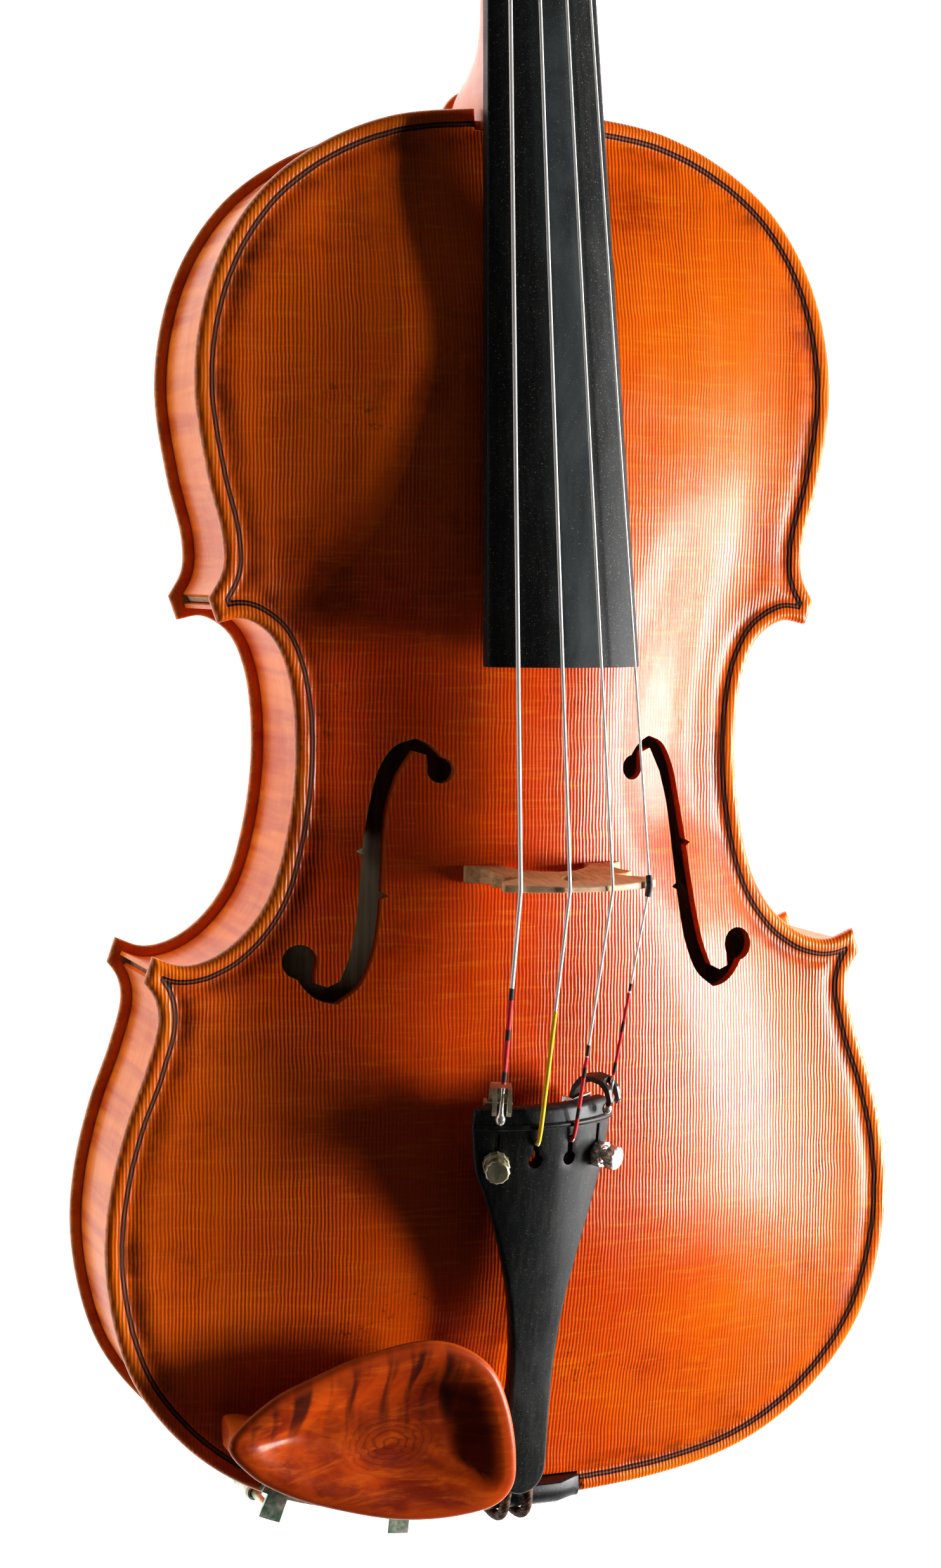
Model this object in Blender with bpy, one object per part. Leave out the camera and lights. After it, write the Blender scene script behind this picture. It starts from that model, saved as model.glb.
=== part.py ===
"""A viola lying on its back: +X towards the treble side, +Y towards the scroll, +Z out of the belly.

All sizes are in metres. Shapes are drawn in the body's own frame, whose Y is 0 at half the body's
length and whose Z is 0 at the lowest point of the back, and one empty moves them to the origin.
"""

import math

import bmesh
import bpy
from mathutils import Matrix, Vector
from mathutils.geometry import delaunay_2d_cdt

MM = 0.001
FIT = 0.3 * MM

# Body
BODY_LENGTH = 406 * MM
LOWER_BOUT = 247 * MM
UPPER_BOUT = 196.6 * MM
RIB_HEIGHT = 40 * MM
PLATE_EDGE = 4 * MM
PLATE_THICKNESS = 3 * MM
TOP_ARCH = 16.5 * MM
BACK_ARCH = 14.5 * MM
OVERHANG = 3 * MM
RIB_THICKNESS = 1.2 * MM
RIB_TIP_INSET = 2.8 * MM
LINING_WIDTH = 2 * MM
LINING_HEIGHT = 7 * MM
ARCH_FULLNESS = 1.3
ARCH_END_DROP = 0.12
SPINE_LOW = -105 * MM
SPINE_HIGH = 115 * MM
BUTTON_RADIUS = 11 * MM
BUTTON_DROP = 2 * MM
PLATE_GRID = 21 * MM
CURVE_TOLERANCE = 0.2 * MM

# Blocks, bar and post
END_BLOCK_WIDTH = 52 * MM
END_BLOCK_DEPTH = 17 * MM
CORNER_BLOCK_REACH = 24 * MM
CORNER_TIP = 1.2 * MM
BASS_BAR_LENGTH = 290 * MM
BASS_BAR_WIDTH = 5.5 * MM
BASS_BAR_HEIGHT = 11 * MM
BASS_BAR_X = -19 * MM
SOUND_POST_RADIUS = 3.2 * MM
SOUND_POST_X = 20 * MM
SOUND_POST_SETBACK = 6 * MM
FACET_SINK = 1.05 * MM

# Neck and head
NECK_LENGTH = 150 * MM
OVERSTAND = 6.3 * MM
NECK_SLOPE = 0.1165
NECK_ROOT_WIDTH = 33 * MM
NECK_ROOT_TAPER = 0.34
NECK_THICKNESS = 13.3 * MM
MORTISE = 6 * MM
NUT_WIDTH = 25 * MM
NUT_LENGTH = 6 * MM
NUT_RISE = 1.2 * MM
PEGBOX_LENGTH = 104 * MM
SCROLL_RADIUS = 23.5 * MM
SCROLL_WIDTH = 46 * MM
SCROLL_TURNS = 2.5
SCROLL_SHRINK = 0.52
SCROLL_STEPS = 20
SCROLL_START = math.radians(-150)
SCROLL_DROP = 13.5 * MM

# Fingerboard
BOARD_LENGTH = 307.5 * MM
BOARD_END_WIDTH = 46 * MM
BOARD_RADIUS = 42 * MM
BOARD_SIDE = 5 * MM
BOARD_SCOOP = 3.2 * MM

# Strings from bass to treble: name, radius, side of its peg's head, how far past the nut the peg
# is, and where on the peg the string arrives
STRINGS = (
    ("c", 0.6 * MM, -1, 20 * MM, 6.2 * MM),
    ("g", 0.5 * MM, -1, 56 * MM, 4.6 * MM),
    ("d", 0.43 * MM, 1, 74 * MM, 4.2 * MM),
    ("a", 0.36 * MM, 1, 38 * MM, 6.0 * MM),
)
STRING_PLACES = (-1, -1 / 3, 1 / 3, 1)
STRING_SEAT = 0.25 * MM
STRING_BEND = 1.2 * MM
NUT_SPREAD = 17.2 * MM
BRIDGE_SPREAD = 38.8 * MM
TUNER_SPREAD = 33.2 * MM
KEYHOLE_SPREAD = 11.2 * MM
WINDING_TURNS = 3
WINDING_GAP = 0.52 * MM

# Bridge
BRIDGE_STOP = 216.7 * MM
BRIDGE_RISE = 50.2 * MM
BRIDGE_SIDE_DROP = 4.9 * MM
BRIDGE_TOP_WIDTH = 46 * MM
BRIDGE_FOOT_SPAN = 48 * MM
BRIDGE_FOOT_LENGTH = 11.8 * MM
BRIDGE_FOOT_THICKNESS = 4.8 * MM
BRIDGE_TOP_THICKNESS = 1.6 * MM
BRIDGE_LEAN = 1.1 * MM
PROTECTOR_RADIUS = 1 * MM
PROTECTOR_LENGTH = 6 * MM

# Pegs
PEG_RADIUS = 3.6 * MM
PEG_TIP_RADIUS = 3.1 * MM
PEG_TAPER_LENGTH = 32 * MM
PEG_HEAD_WIDTH = 23 * MM
PEG_HEAD_LENGTH = 21 * MM
PEG_HEAD_THICKNESS = 7 * MM
PEG_COLLAR_RADIUS = 5.6 * MM

# Tailpiece, tail gut, saddle and end button
TAIL_X = -2.9 * MM
TAIL_ROLL = -0.15
TAILPIECE_LENGTH = 118.4 * MM
TAILPIECE_WIDTH = 46.4 * MM
TAILPIECE_WAIST = 14.4 * MM
TAILPIECE_END_WIDTH = 15.4 * MM
TAILPIECE_THICKNESS = 5 * MM
TAILPIECE_END_THICKNESS = 6.2 * MM
TAILPIECE_TOP_RISE = 36 * MM
TAILPIECE_END_RISE = 13.2 * MM
TAILPIECE_RADIUS = 38 * MM
TAILPIECE_BEVEL = 1.2 * MM
STRING_HOLE_RADIUS = 2.1 * MM
STRING_HOLE_INSET = 15.3 * MM
STRING_SLOT_WIDTH = 1.8 * MM
STRING_SLOT_REACH = 6.6 * MM
FRET_INSET = 5 * MM
FRET_HEIGHT = 0.5 * MM
GUT_RADIUS = 1.6 * MM
GUT_SPREAD = 7.8 * MM
SADDLE_WIDTH = 40 * MM
SADDLE_DEPTH = 6.5 * MM
SADDLE_RISE = 6.6 * MM
SADDLE_END_RISE = 1.5 * MM
BUTTON_NECK_RADIUS = 3.4 * MM
BUTTON_COLLAR_RADIUS = 5.2 * MM
BUTTON_HEAD_RADIUS = 6 * MM
BUTTON_REACH = 8.8 * MM
BUTTON_GROOVE = 4.4 * MM

# Fine tuners
POST_RADIUS = 2.5 * MM
SCREW_RADIUS = 1.3 * MM
LOCK_NUT_RADIUS = 3.9 * MM
LOCK_NUT_HEIGHT = 2.5 * MM
KNOB_RADIUS = 3.6 * MM
KNOB_HEIGHT = 2.9 * MM
KNOB_STAND = 1.7 * MM
FRAME_THICKNESS = 0.9 * MM
LEVER_WIDTH = 5.4 * MM
FRAME_SINK = 0.65 * MM
LEVER_DROP = 1.3 * MM
PIVOT_REACH = 13 * MM
PIVOT_RADIUS = 1 * MM
PRONG_GAP = 2.9 * MM
BALL_RADIUS = 1.7 * MM

# Chin rest and clamp
CUP_RISE = 26 * MM
CUP_DEPTH = 7 * MM
CUP_WALL = 6 * MM
CUP_RIM = 4 * MM
PAD_THICKNESS = 1.4 * MM
CLAMP_PLATE = 1.4 * MM
CLAMP_WIDTH = 8 * MM
LEG_PLACES = (37.5 * MM, 75 * MM)
LEG_RADIUS = 1.2 * MM
LEG_STAND = 3.4 * MM
UPPER_LEG_END = 22 * MM
LOWER_LEG_END = 28 * MM
BARREL_RADIUS = 2.7 * MM
BARREL_LENGTH = 22 * MM
BARREL_TOP = 14 * MM

# Heights and places that follow from the sizes above
BACK_EDGE_Z = BACK_ARCH
RIB_LOW_Z = BACK_EDGE_Z + PLATE_EDGE
RIB_HIGH_Z = RIB_LOW_Z + RIB_HEIGHT
EDGE_Z = RIB_HIGH_Z + PLATE_EDGE
MIDDLE_Z = (RIB_LOW_Z + RIB_HIGH_Z) / 2
BODY_TOP_Y = BODY_LENGTH / 2
BODY_LOW_Y = -BODY_LENGTH / 2
NUT_Y = BODY_TOP_Y + NECK_LENGTH
BRIDGE_Y = BODY_TOP_Y - BRIDGE_STOP
VOLUTE_Y = NUT_Y + PEGBOX_LENGTH
BUTTON_END_Y = BODY_LOW_Y - BUTTON_REACH
TAILPIECE_LOW_Y = BODY_LOW_Y + SADDLE_DEPTH
TAILPIECE_TOP_Y = TAILPIECE_LOW_Y + TAILPIECE_LENGTH
STRING_HOLE_Y = TAILPIECE_TOP_Y - STRING_HOLE_INSET
CUP_Z = EDGE_Z + CUP_RISE

# Half of the plates' outline, from the bottom centre to the top centre, drawn in mm at a body of
# 406 by 247 by 196.6: three smooth runs that meet at the corners.
DRAWN_LENGTH = 406
DRAWN_LOWER_BOUT = 247
DRAWN_UPPER_BOUT = 196.6
LOWER_RUN = (
    (0, -203), (24, -202.4), (47, -200.2), (66, -196.3), (81, -190.4), (95, -181.2), (107, -169),
    (115.5, -156), (121, -139.5), (123.5, -120), (122, -102), (117.6, -84), (111.6, -67.3),
    (108.3, -54), (109.4, -47.8), (112.4, -43.2),
)
MIDDLE_RUN = (
    (110, -36), (102, -38.8), (94, -37.5), (85, -31.8), (77, -21.5), (71.8, -6), (68.7, 19),
    (70.9, 42), (76.1, 53.2), (84, 58), (91.6, 56.9),
)
UPPER_RUN = (
    (94.1, 63.8), (90.2, 71.5), (90.2, 80.5), (94.6, 98), (98.3, 122), (96.4, 142.5), (89.8, 161.5),
    (78, 178.3), (62, 190.6), (42, 199.2), (20, 202.6), (0, 203),
)
RUN_STEPS = 240

# Half of the curve inside the edge where the arch begins
CHANNEL = (
    (0, -195), (46, -192), (78, -182), (101, -163), (113, -140), (115.5, -120), (110.5, -92),
    (100.5, -62), (88, -37), (74, -16), (64.5, 0), (60.7, 19), (63.5, 41), (71.5, 61), (82, 82),
    (88, 103), (90.3, 124), (87, 146), (77.5, 166), (58.5, 184), (36, 192.5), (0, 195.5),
)

# The treble f-hole: the outer and inner side of its stem, from the upper eye to the lower eye, then
# each eye's centre and radius, and the points of the two wings
F_OUTER = (
    (36.2, 24.6), (41.5, 22.4), (45.6, 16), (48.2, 6), (50, -4), (51.6, -17), (53.2, -28),
    (55.2, -37), (58, -44),
)
F_INNER = (
    (40.6, 14), (43.2, 5), (44.4, -4), (45.4, -16), (46.6, -27), (48.6, -37), (52.6, -45.6),
    (58.6, -50.4),
)
F_UPPER_EYE = (29.6, 15.6, 3.6)
F_LOWER_EYE = (68.6, -38.6, 4.9)
F_TOP = (31.6, 22.4)
F_BOTTOM = (65.2, -50)
F_UPPER_WING = ((36.6, 21), (33.4, 20))
F_LOWER_WING = ((61.4, -45.6), (64.4, -44.6))
F_NICK = 1.7

# The chin rest's rim on the bass side
CUP_OUTLINE = (
    (-95.1, -168.6), (-83.7, -157.5), (-69.6, -151.4), (-55.4, -146.8), (-36.7, -144.4),
    (-26.4, -147.2), (-17.4, -154.2), (-12.3, -165.4), (-9.8, -180.5), (-10.6, -189), (-15, -193.8),
    (-25.9, -196.1), (-43.5, -195.5), (-62.3, -190.8), (-77.9, -184.8), (-89.1, -177.5),
)

# Materials: name, colour, roughness, metallic
SPRUCE = ("spruce_varnish", (0.62, 0.17, 0.035), 0.28, 0)
MAPLE = ("maple_varnish", (0.66, 0.2, 0.05), 0.25, 0)
INNER_WOOD = ("inner_wood", (0.72, 0.56, 0.36), 0.6, 0)
EBONY = ("ebony", (0.02, 0.02, 0.022), 0.4, 0)
BRIDGE_WOOD = ("bridge_maple", (0.55, 0.33, 0.16), 0.5, 0)
STEEL = ("string_steel", (0.8, 0.8, 0.8), 0.25, 1)
NICKEL = ("nickel", (0.72, 0.7, 0.62), 0.3, 1)
GUT = ("gut", (0.16, 0.07, 0.03), 0.5, 0)
CUP_WOOD = ("chin_rest_wood", (0.35, 0.07, 0.02), 0.25, 0)
CLOTH = ("green_cloth", (0.1, 0.35, 0.2), 0.9, 0)
TUBE = ("grey_tube", (0.08, 0.08, 0.08), 0.6, 0)


def clear_scene():
    for obj in list(bpy.data.objects):
        bpy.data.objects.remove(obj, do_unlink=True)


def material(name, colour, roughness, metallic):
    made = bpy.data.materials.get(name) or bpy.data.materials.new(name)
    made.use_nodes = True
    shader = made.node_tree.nodes["Principled BSDF"]
    shader.inputs["Base Color"].default_value = (*colour, 1.0)
    shader.inputs["Roughness"].default_value = roughness
    shader.inputs["Metallic"].default_value = metallic
    return made


def finish(obj, look, smooth=True, parent=None):
    """Gives an object its material and shading, and hangs it on the body's frame or on a parent."""
    obj.data.materials.append(material(*look))
    if smooth and obj.type == "MESH":
        obj.data.shade_smooth()
        obj.data.set_sharp_from_angle(angle=math.radians(35))
    obj.parent = parent or bpy.data.objects["body_frame"]
    return obj


def new_object(name, verts, faces):
    """A mesh object with its faces turned outwards."""
    mesh = bpy.data.meshes.new(name)
    mesh.from_pydata([tuple(v) for v in verts], [], faces)
    obj = bpy.data.objects.new(name, mesh)
    bpy.context.scene.collection.objects.link(obj)
    work = bmesh.new()
    work.from_mesh(mesh)
    bmesh.ops.recalc_face_normals(work, faces=work.faces)
    work.to_mesh(mesh)
    work.free()
    return obj


def empty(name, place, parent=None):
    obj = bpy.data.objects.new(name, None)
    obj.matrix_local = place
    bpy.context.scene.collection.objects.link(obj)
    obj.parent = parent
    return obj


def helper(obj, parent=None):
    """Marks an object that only shapes others."""
    obj.hide_render = True
    obj.display_type = "WIRE"
    obj.parent = parent or bpy.data.objects["body_frame"]
    return obj


def boolean(obj, other, operation="DIFFERENCE"):
    step = obj.modifiers.new(other.name, "BOOLEAN")
    step.operation = operation
    step.solver = "EXACT"
    step.object = other


def loft(rings, closed=False):
    """Skins rings of equal count in turn, joins the last to the first or else caps both ends."""
    count = len(rings[0])
    verts = [p for ring in rings for p in ring]
    faces = []
    last = len(rings) if closed else len(rings) - 1
    for r in range(last):
        a = r * count
        b = (r + 1) % len(rings) * count
        faces += [(a + k, a + (k + 1) % count, b + (k + 1) % count, b + k) for k in range(count)]
    if not closed:
        faces += [tuple(range(count)), tuple(range(last * count, (last + 1) * count))]
    return verts, faces


def bore(radius, segments):
    """The radius of a hole whose flats clear a round piece by the fit."""
    return (radius + FIT) / math.cos(math.pi / segments)


def turned(profile, segments, axis, knurl=0.0):
    """Rings of a turned shape from (distance along the axis, radius) points."""
    rings = []
    for along, radius in profile:
        ring = []
        for k in range(segments):
            a = 2 * math.pi * k / segments
            r = radius - knurl * (k % 2)
            u = r * math.cos(a)
            v = r * math.sin(a)
            ring.append({"X": (along, u, v), "Y": (v, along, u), "Z": (u, v, along)}[axis])
        rings.append(ring)
    return rings


def rod(name, profile, segments, axis="Z"):
    return new_object(name, *loft(turned(profile, segments, axis)))


def prism(name, outline, low, high):
    """A straight prism over a plan outline of (x, y) points."""
    rings = [[(x, y, z) for x, y in outline] for z in (low, high)]
    return new_object(name, *loft(rings))


def box(name, low, high):
    x0, y0, z0 = low
    x1, y1, z1 = high
    return prism(name, ((x0, y0), (x1, y0), (x1, y1), (x0, y1)), z0, z1)


def tube(name, points, radius, resolution, swell=None):
    """A round wire along a route. swell gives each point's radius as a share of the wire's."""
    curve = bpy.data.curves.new(name, "CURVE")
    curve.dimensions = "3D"
    curve.bevel_depth = radius
    curve.bevel_resolution = resolution
    curve.use_fill_caps = True
    line = curve.splines.new("POLY")
    line.points.add(len(points) - 1)
    for k, p in enumerate(points):
        line.points[k].co = (*p, 1)
        line.points[k].radius = swell[k] if swell else 1
    obj = bpy.data.objects.new(name, curve)
    bpy.context.scene.collection.objects.link(obj)
    return obj


def curve_through(points, count, closed=False):
    """count + 1 evenly spaced points along a smooth curve through the given ones."""
    pts = [Vector(p) for p in points]
    if closed:
        ends = [pts[-1]] + pts + pts[:2]
    else:
        ends = [2 * pts[0] - pts[1]] + pts + [2 * pts[-1] - pts[-2]]
    fine = []
    for k in range(1, len(ends) - 2):
        p0, p1, p2, p3 = ends[k - 1:k + 3]
        t1 = (p1 - p0).length ** 0.5
        t2 = t1 + (p2 - p1).length ** 0.5
        t3 = t2 + (p3 - p2).length ** 0.5
        for step in range(20):
            t = t1 + (t2 - t1) * step / 20
            a1 = p0 * ((t1 - t) / t1) + p1 * (t / t1)
            a2 = p1 * ((t2 - t) / (t2 - t1)) + p2 * ((t - t1) / (t2 - t1))
            a3 = p2 * ((t3 - t) / (t3 - t2)) + p3 * ((t - t2) / (t3 - t2))
            b1 = a1 * ((t2 - t) / t2) + a2 * (t / t2)
            b2 = a2 * ((t3 - t) / (t3 - t1)) + a3 * ((t - t1) / (t3 - t1))
            fine.append(b1 * ((t2 - t) / (t2 - t1)) + b2 * ((t - t1) / (t2 - t1)))
    fine.append(ends[-2])
    return evenly(fine, count)


def evenly(line, count):
    """count + 1 points at equal steps of length along a polyline."""
    reach = [0.0]
    for a, b in zip(line, line[1:]):
        reach.append(reach[-1] + (b - a).length)
    out = []
    k = 0
    for step in range(count + 1):
        goal = reach[-1] * step / count
        while k < len(line) - 2 and reach[k + 1] < goal:
            k += 1
        span = max(reach[k + 1] - reach[k], 1e-12)
        out.append(line[k].lerp(line[k + 1], (goal - reach[k]) / span))
    return out


def rounded(points, radius, steps=4):
    """A route of straight runs with an arc in place of each corner."""
    route = [Vector(p) for p in points]
    out = [route[0]]
    for a, b, c in zip(route, route[1:], route[2:]):
        u = (a - b).normalized()
        v = (c - b).normalized()
        half = u.angle(v) / 2
        centre = b + (u + v).normalized() * (radius / math.sin(half))
        start = b + u * (radius / math.tan(half)) - centre
        stop = b + v * (radius / math.tan(half)) - centre
        spread = start.angle(stop)
        for k in range(steps + 1):
            a = spread * k / steps
            turn = (start * math.sin(spread - a) + stop * math.sin(a)) / math.sin(spread)
            out.append(centre + turn)
    return out + [route[-1]]


def to_body(point):
    """A drawn point in mm, scaled to the body's length and to the width of its bout."""
    x, y = point
    blend = min(max((y + 55) / 115, 0), 1)
    width = (1 - blend) * LOWER_BOUT / DRAWN_LOWER_BOUT + blend * UPPER_BOUT / DRAWN_UPPER_BOUT
    return Vector((x * width, y * BODY_LENGTH / DRAWN_LENGTH))


def offset(line, distance):
    """The line moved to its left, which is into the body for the treble half."""
    out = []
    for k, p in enumerate(line):
        along = line[min(k + 1, len(line) - 1)] - line[max(k - 1, 0)]
        out.append(p + Vector((-along.y, along.x)).normalized() * distance)
    return out


def mirrored(points):
    return [Vector((-p[0], *p[1:])) for p in points]


def to_line(p, line):
    """The distance from a plan point to a polyline."""
    least = 1e9
    for a, b in zip(line, line[1:]):
        side = b - a
        share = min(max((p - a).dot(side) / side.length_squared, 0), 1)
        least = min(least, (p - a - side * share).length)
    return least


def key_points(line):
    """The indices that a polyline needs to keep within the tolerance of itself."""
    keep = {0, len(line) - 1}
    spans = [(0, len(line) - 1)]
    while spans:
        a, b = spans.pop()
        if b - a < 2:
            continue
        along = (line[b] - line[a]).normalized()
        far = max(range(a + 1, b), key=lambda k: abs(along.cross(line[k] - line[a])))
        if abs(along.cross(line[far] - line[a])) > CURVE_TOLERANCE:
            keep.add(far)
            spans += [(a, far), (far, b)]
    return sorted(keep)


RUNS = [
    curve_through([to_body(p) for p in run], RUN_STEPS) for run in (LOWER_RUN, MIDDLE_RUN, UPPER_RUN)
]


def index_after(index, length, from_end=False):
    """The fine index that lies a length along a run from its start or its end."""
    line = RUNS[index]
    whole = sum((b - a).length for a, b in zip(line, line[1:]))
    steps = min(max(round(length / whole * RUN_STEPS), 0), RUN_STEPS)
    return RUN_STEPS - steps if from_end else steps


def index_at(index, x):
    """The fine index of a run that comes nearest to an x."""
    return min(range(RUN_STEPS + 1), key=lambda k: abs(RUNS[index][k].x - x))


def rib_windows():
    """The fine indices where each rib starts and stops, cut back where it meets its neighbour."""
    middle = offset(RUNS[1], OVERHANG + RIB_THICKNESS / 2)
    clear = RIB_THICKNESS / 2 + 1.5 * FIT
    found = []
    for index, order in ((0, range(RUN_STEPS, 0, -1)), (2, range(RUN_STEPS))):
        outer = offset(RUNS[index], OVERHANG)
        inner = offset(RUNS[index], OVERHANG + RIB_THICKNESS)
        tip = index_after(index, RIB_TIP_INSET, index == 0)
        for k in order:
            past = k > tip if index == 0 else k < tip
            if not past and min(to_line(outer[k], middle), to_line(inner[k], middle)) > clear:
                found.append(k)
                break
    ends = index_after(1, RIB_TIP_INSET), index_after(1, RIB_TIP_INSET, True)
    return (0, found[0]), ends, (found[1], index_at(2, BUTTON_RADIUS / 2))


def block_windows(index):
    """The fine indices between which a corner's block lies along a run and along the next one."""
    distance = OVERHANG + RIB_THICKNESS + FIT
    outer = offset(RUNS[index], distance)
    inner = offset(RUNS[index + 1], distance)
    tip = (outer[-1] + inner[0]) / 2
    found = []
    for line, other, way in ((outer, inner, -1), (inner, outer, 1)):
        reach = [to_line(p, other) for p in line]
        cross = reach.index(min(reach))
        near = [
            k for k, p in enumerate(line)
            if (k - cross) * way > 0 and (p - tip).length < CORNER_BLOCK_REACH and reach[k] > CORNER_TIP
        ]
        found.append((near[0], near[-1]))
    return found


RIB_WINDOWS = rib_windows()
BLOCK_WINDOWS = [block_windows(0), block_windows(1)]
LINING_WINDOWS = (
    (0, index_after(0, 15 * MM, True)),
    (index_after(1, 20 * MM), index_after(1, 15 * MM, True)),
    (index_after(2, 15 * MM), index_at(2, END_BLOCK_WIDTH / 2)),
)
BLOCK_ENDS = (index_at(0, END_BLOCK_WIDTH / 2), index_at(2, END_BLOCK_WIDTH / 2))


def all_keys():
    """Each run's key points, with every place where a piece along it starts or stops."""
    keys = [set(key_points(run)) | {*rib, *lining}
            for run, rib, lining in zip(RUNS, RIB_WINDOWS, LINING_WINDOWS)]
    for index, windows in enumerate(BLOCK_WINDOWS):
        keys[index] |= {*windows[0]}
        keys[index + 1] |= {*windows[1]}
    keys[0].add(BLOCK_ENDS[0])
    keys[2].add(BLOCK_ENDS[1])
    return [sorted(found) for found in keys]


KEYS = all_keys()


def stretch(index, distance, first, last):
    """A run's key points from one fine index to another, moved into the body by a distance."""
    line = offset(RUNS[index], distance)
    keys = [first] + [k for k in KEYS[index] if first < k < last] + [last]
    return [line[k] for k in keys]


def top_outline():
    """The belly's outline from the saddle's notch round to the neck's, and back."""
    low = SADDLE_WIDTH / 2 + FIT
    high = NECK_ROOT_WIDTH / 2 + FIT
    first = index_at(0, low)
    last = index_at(2, high)
    half = stretch(0, 0, first, RUN_STEPS) + stretch(1, 0, 0, RUN_STEPS) + stretch(2, 0, 0, last)
    half[0].x = low
    half[-1].x = high
    half.insert(0, Vector((low, BODY_LOW_Y + SADDLE_DEPTH + FIT)))
    half.append(Vector((high, BODY_TOP_Y - MORTISE - FIT)))
    return half + mirrored(reversed(half))


def back_outline():
    """The back's outline with the button that the neck's heel stands on."""
    last = index_at(2, BUTTON_RADIUS + MM)
    half = stretch(0, 0, 0, RUN_STEPS) + stretch(1, 0, 0, RUN_STEPS) + stretch(2, 0, 0, last)
    half[0].x = 0
    centre = BODY_TOP_Y + BUTTON_DROP
    for k in range(9):
        a = math.pi / 2 * k / 8
        half.append(Vector((BUTTON_RADIUS * math.cos(a), centre + BUTTON_RADIUS * math.sin(a))))
    half[-1].x = 0
    return half + mirrored(reversed(half[1:-1]))


CHANNEL_HALF = curve_through([to_body(p) for p in CHANNEL], 34)
CHANNEL_LOOP = CHANNEL_HALF + mirrored(reversed(CHANNEL_HALF[1:-1]))


def rise(x, y):
    """The arch at a plan point, from 0 at the channel to 1 at the crown."""
    spine = Vector((0, min(max(y, SPINE_LOW), SPINE_HIGH)))
    out = Vector((x, y)) - spine
    share = 0.0
    if out.length > 1e-6:
        far = 1e9
        for a, b in zip(CHANNEL_LOOP, CHANNEL_LOOP[1:] + CHANNEL_LOOP[:1]):
            side = b - a
            slant = out.cross(side)
            if abs(slant) < 1e-15:
                continue
            along = (a - spine).cross(side) / slant
            on_side = (a - spine).cross(out) / slant
            if along > 0 and -1e-6 <= on_side <= 1 + 1e-6:
                far = min(far, along)
        share = min(1 / far, 1.0)
    middle = 1 - ARCH_END_DROP * (spine.y / SPINE_HIGH) ** 2
    return middle * math.cos(math.pi / 2 * share ** ARCH_FULLNESS) ** 2


def belly(x, y):
    return EDGE_Z + TOP_ARCH * rise(x, y)


def belly_under(x, y):
    return RIB_HIGH_Z + (TOP_ARCH + PLATE_EDGE - PLATE_THICKNESS) * rise(x, y)


def back_under(x, y):
    return BACK_EDGE_Z - BACK_ARCH * rise(x, y)


def back_inner(x, y):
    return RIB_LOW_Z - (BACK_ARCH + PLATE_EDGE - PLATE_THICKNESS) * rise(x, y)


def inside(x, y, loop):
    hit = False
    for a, b in zip(loop, list(loop[1:]) + [loop[0]]):
        if (a[1] > y) != (b[1] > y) and x < (b[0] - a[0]) * (y - a[1]) / (b[1] - a[1]) + a[0]:
            hit = not hit
    return hit


def slab(name, outline, holes, inner, surface):
    """A closed sheet over a plan. surface gives the two points that belong to a plan point."""
    plan = list(outline)
    loops = [list(range(len(plan)))]
    for hole in holes:
        loops.append(list(range(len(plan), len(plan) + len(hole))))
        plan += list(hole)
    edges = [(a, b) for loop in loops for a, b in zip(loop, loop[1:] + loop[:1])]
    plan += inner
    points, _, cells, _, _, _ = delaunay_2d_cdt([Vector(p) for p in plan], edges, [], 0, 1e-7)
    triangles = []
    for cell in cells:
        x = sum(points[k].x for k in cell) / 3
        y = sum(points[k].y for k in cell) / 3
        if inside(x, y, outline) and not any(inside(x, y, hole) for hole in holes):
            triangles.append(cell)
    used = sorted({k for cell in triangles for k in cell})
    place = {k: n for n, k in enumerate(used)}
    pairs = [surface(points[k].x, points[k].y) for k in used]
    count = len(used)
    faces = []
    sides = set()
    for cell in triangles:
        a, b, c = (place[k] for k in cell)
        faces.append((a, c, b))
        faces.append((a + count, b + count, c + count))
        sides |= {(a, b), (b, c), (c, a)}
    for a, b in sorted(sides):
        if (b, a) not in sides:
            faces.append((a, b, b + count, a + count))
    return new_object(name, [p[0] for p in pairs] + [p[1] for p in pairs], faces)


def grid_points(outline, holes, spacing, clear):
    """A hexagonal grid of plan points inside an outline, clear of its points and of the holes."""
    near = [p for loop in [outline] + holes for p in loop]
    low_x = min(p.x for p in outline)
    low_y = min(p.y for p in outline)
    rows = int((max(p.y for p in outline) - low_y) / (spacing * 0.866)) + 1
    columns = int((max(p.x for p in outline) - low_x) / spacing) + 1
    points = []
    for row in range(rows + 1):
        for column in range(columns + 1):
            p = Vector((low_x + (column + 0.5 * (row % 2)) * spacing, low_y + row * spacing * 0.866))
            if not inside(p.x, p.y, outline) or any(inside(p.x, p.y, hole) for hole in holes):
                continue
            if all((p - q).length > clear for q in near):
                points.append(p)
    return points


def arc(circle, start, stop, steps):
    """Points on a circle of (x, y, radius) between two angles in degrees."""
    x, y, radius = circle
    angles = [math.radians(start + (stop - start) * k / steps) for k in range(steps + 1)]
    return [Vector((x + radius * math.cos(a), y + radius * math.sin(a))) for a in angles]


def nicked(side, outward):
    """One side of the f-hole's stem with its small notch at half length."""
    middle = len(side) // 2
    here = side[middle]
    along = (side[middle + 1] - side[middle - 1]).normalized()
    notch = [here - along, here + Vector((outward * F_NICK, 0)), here + along]
    return side[:middle] + notch + side[middle + 1:]


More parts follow.
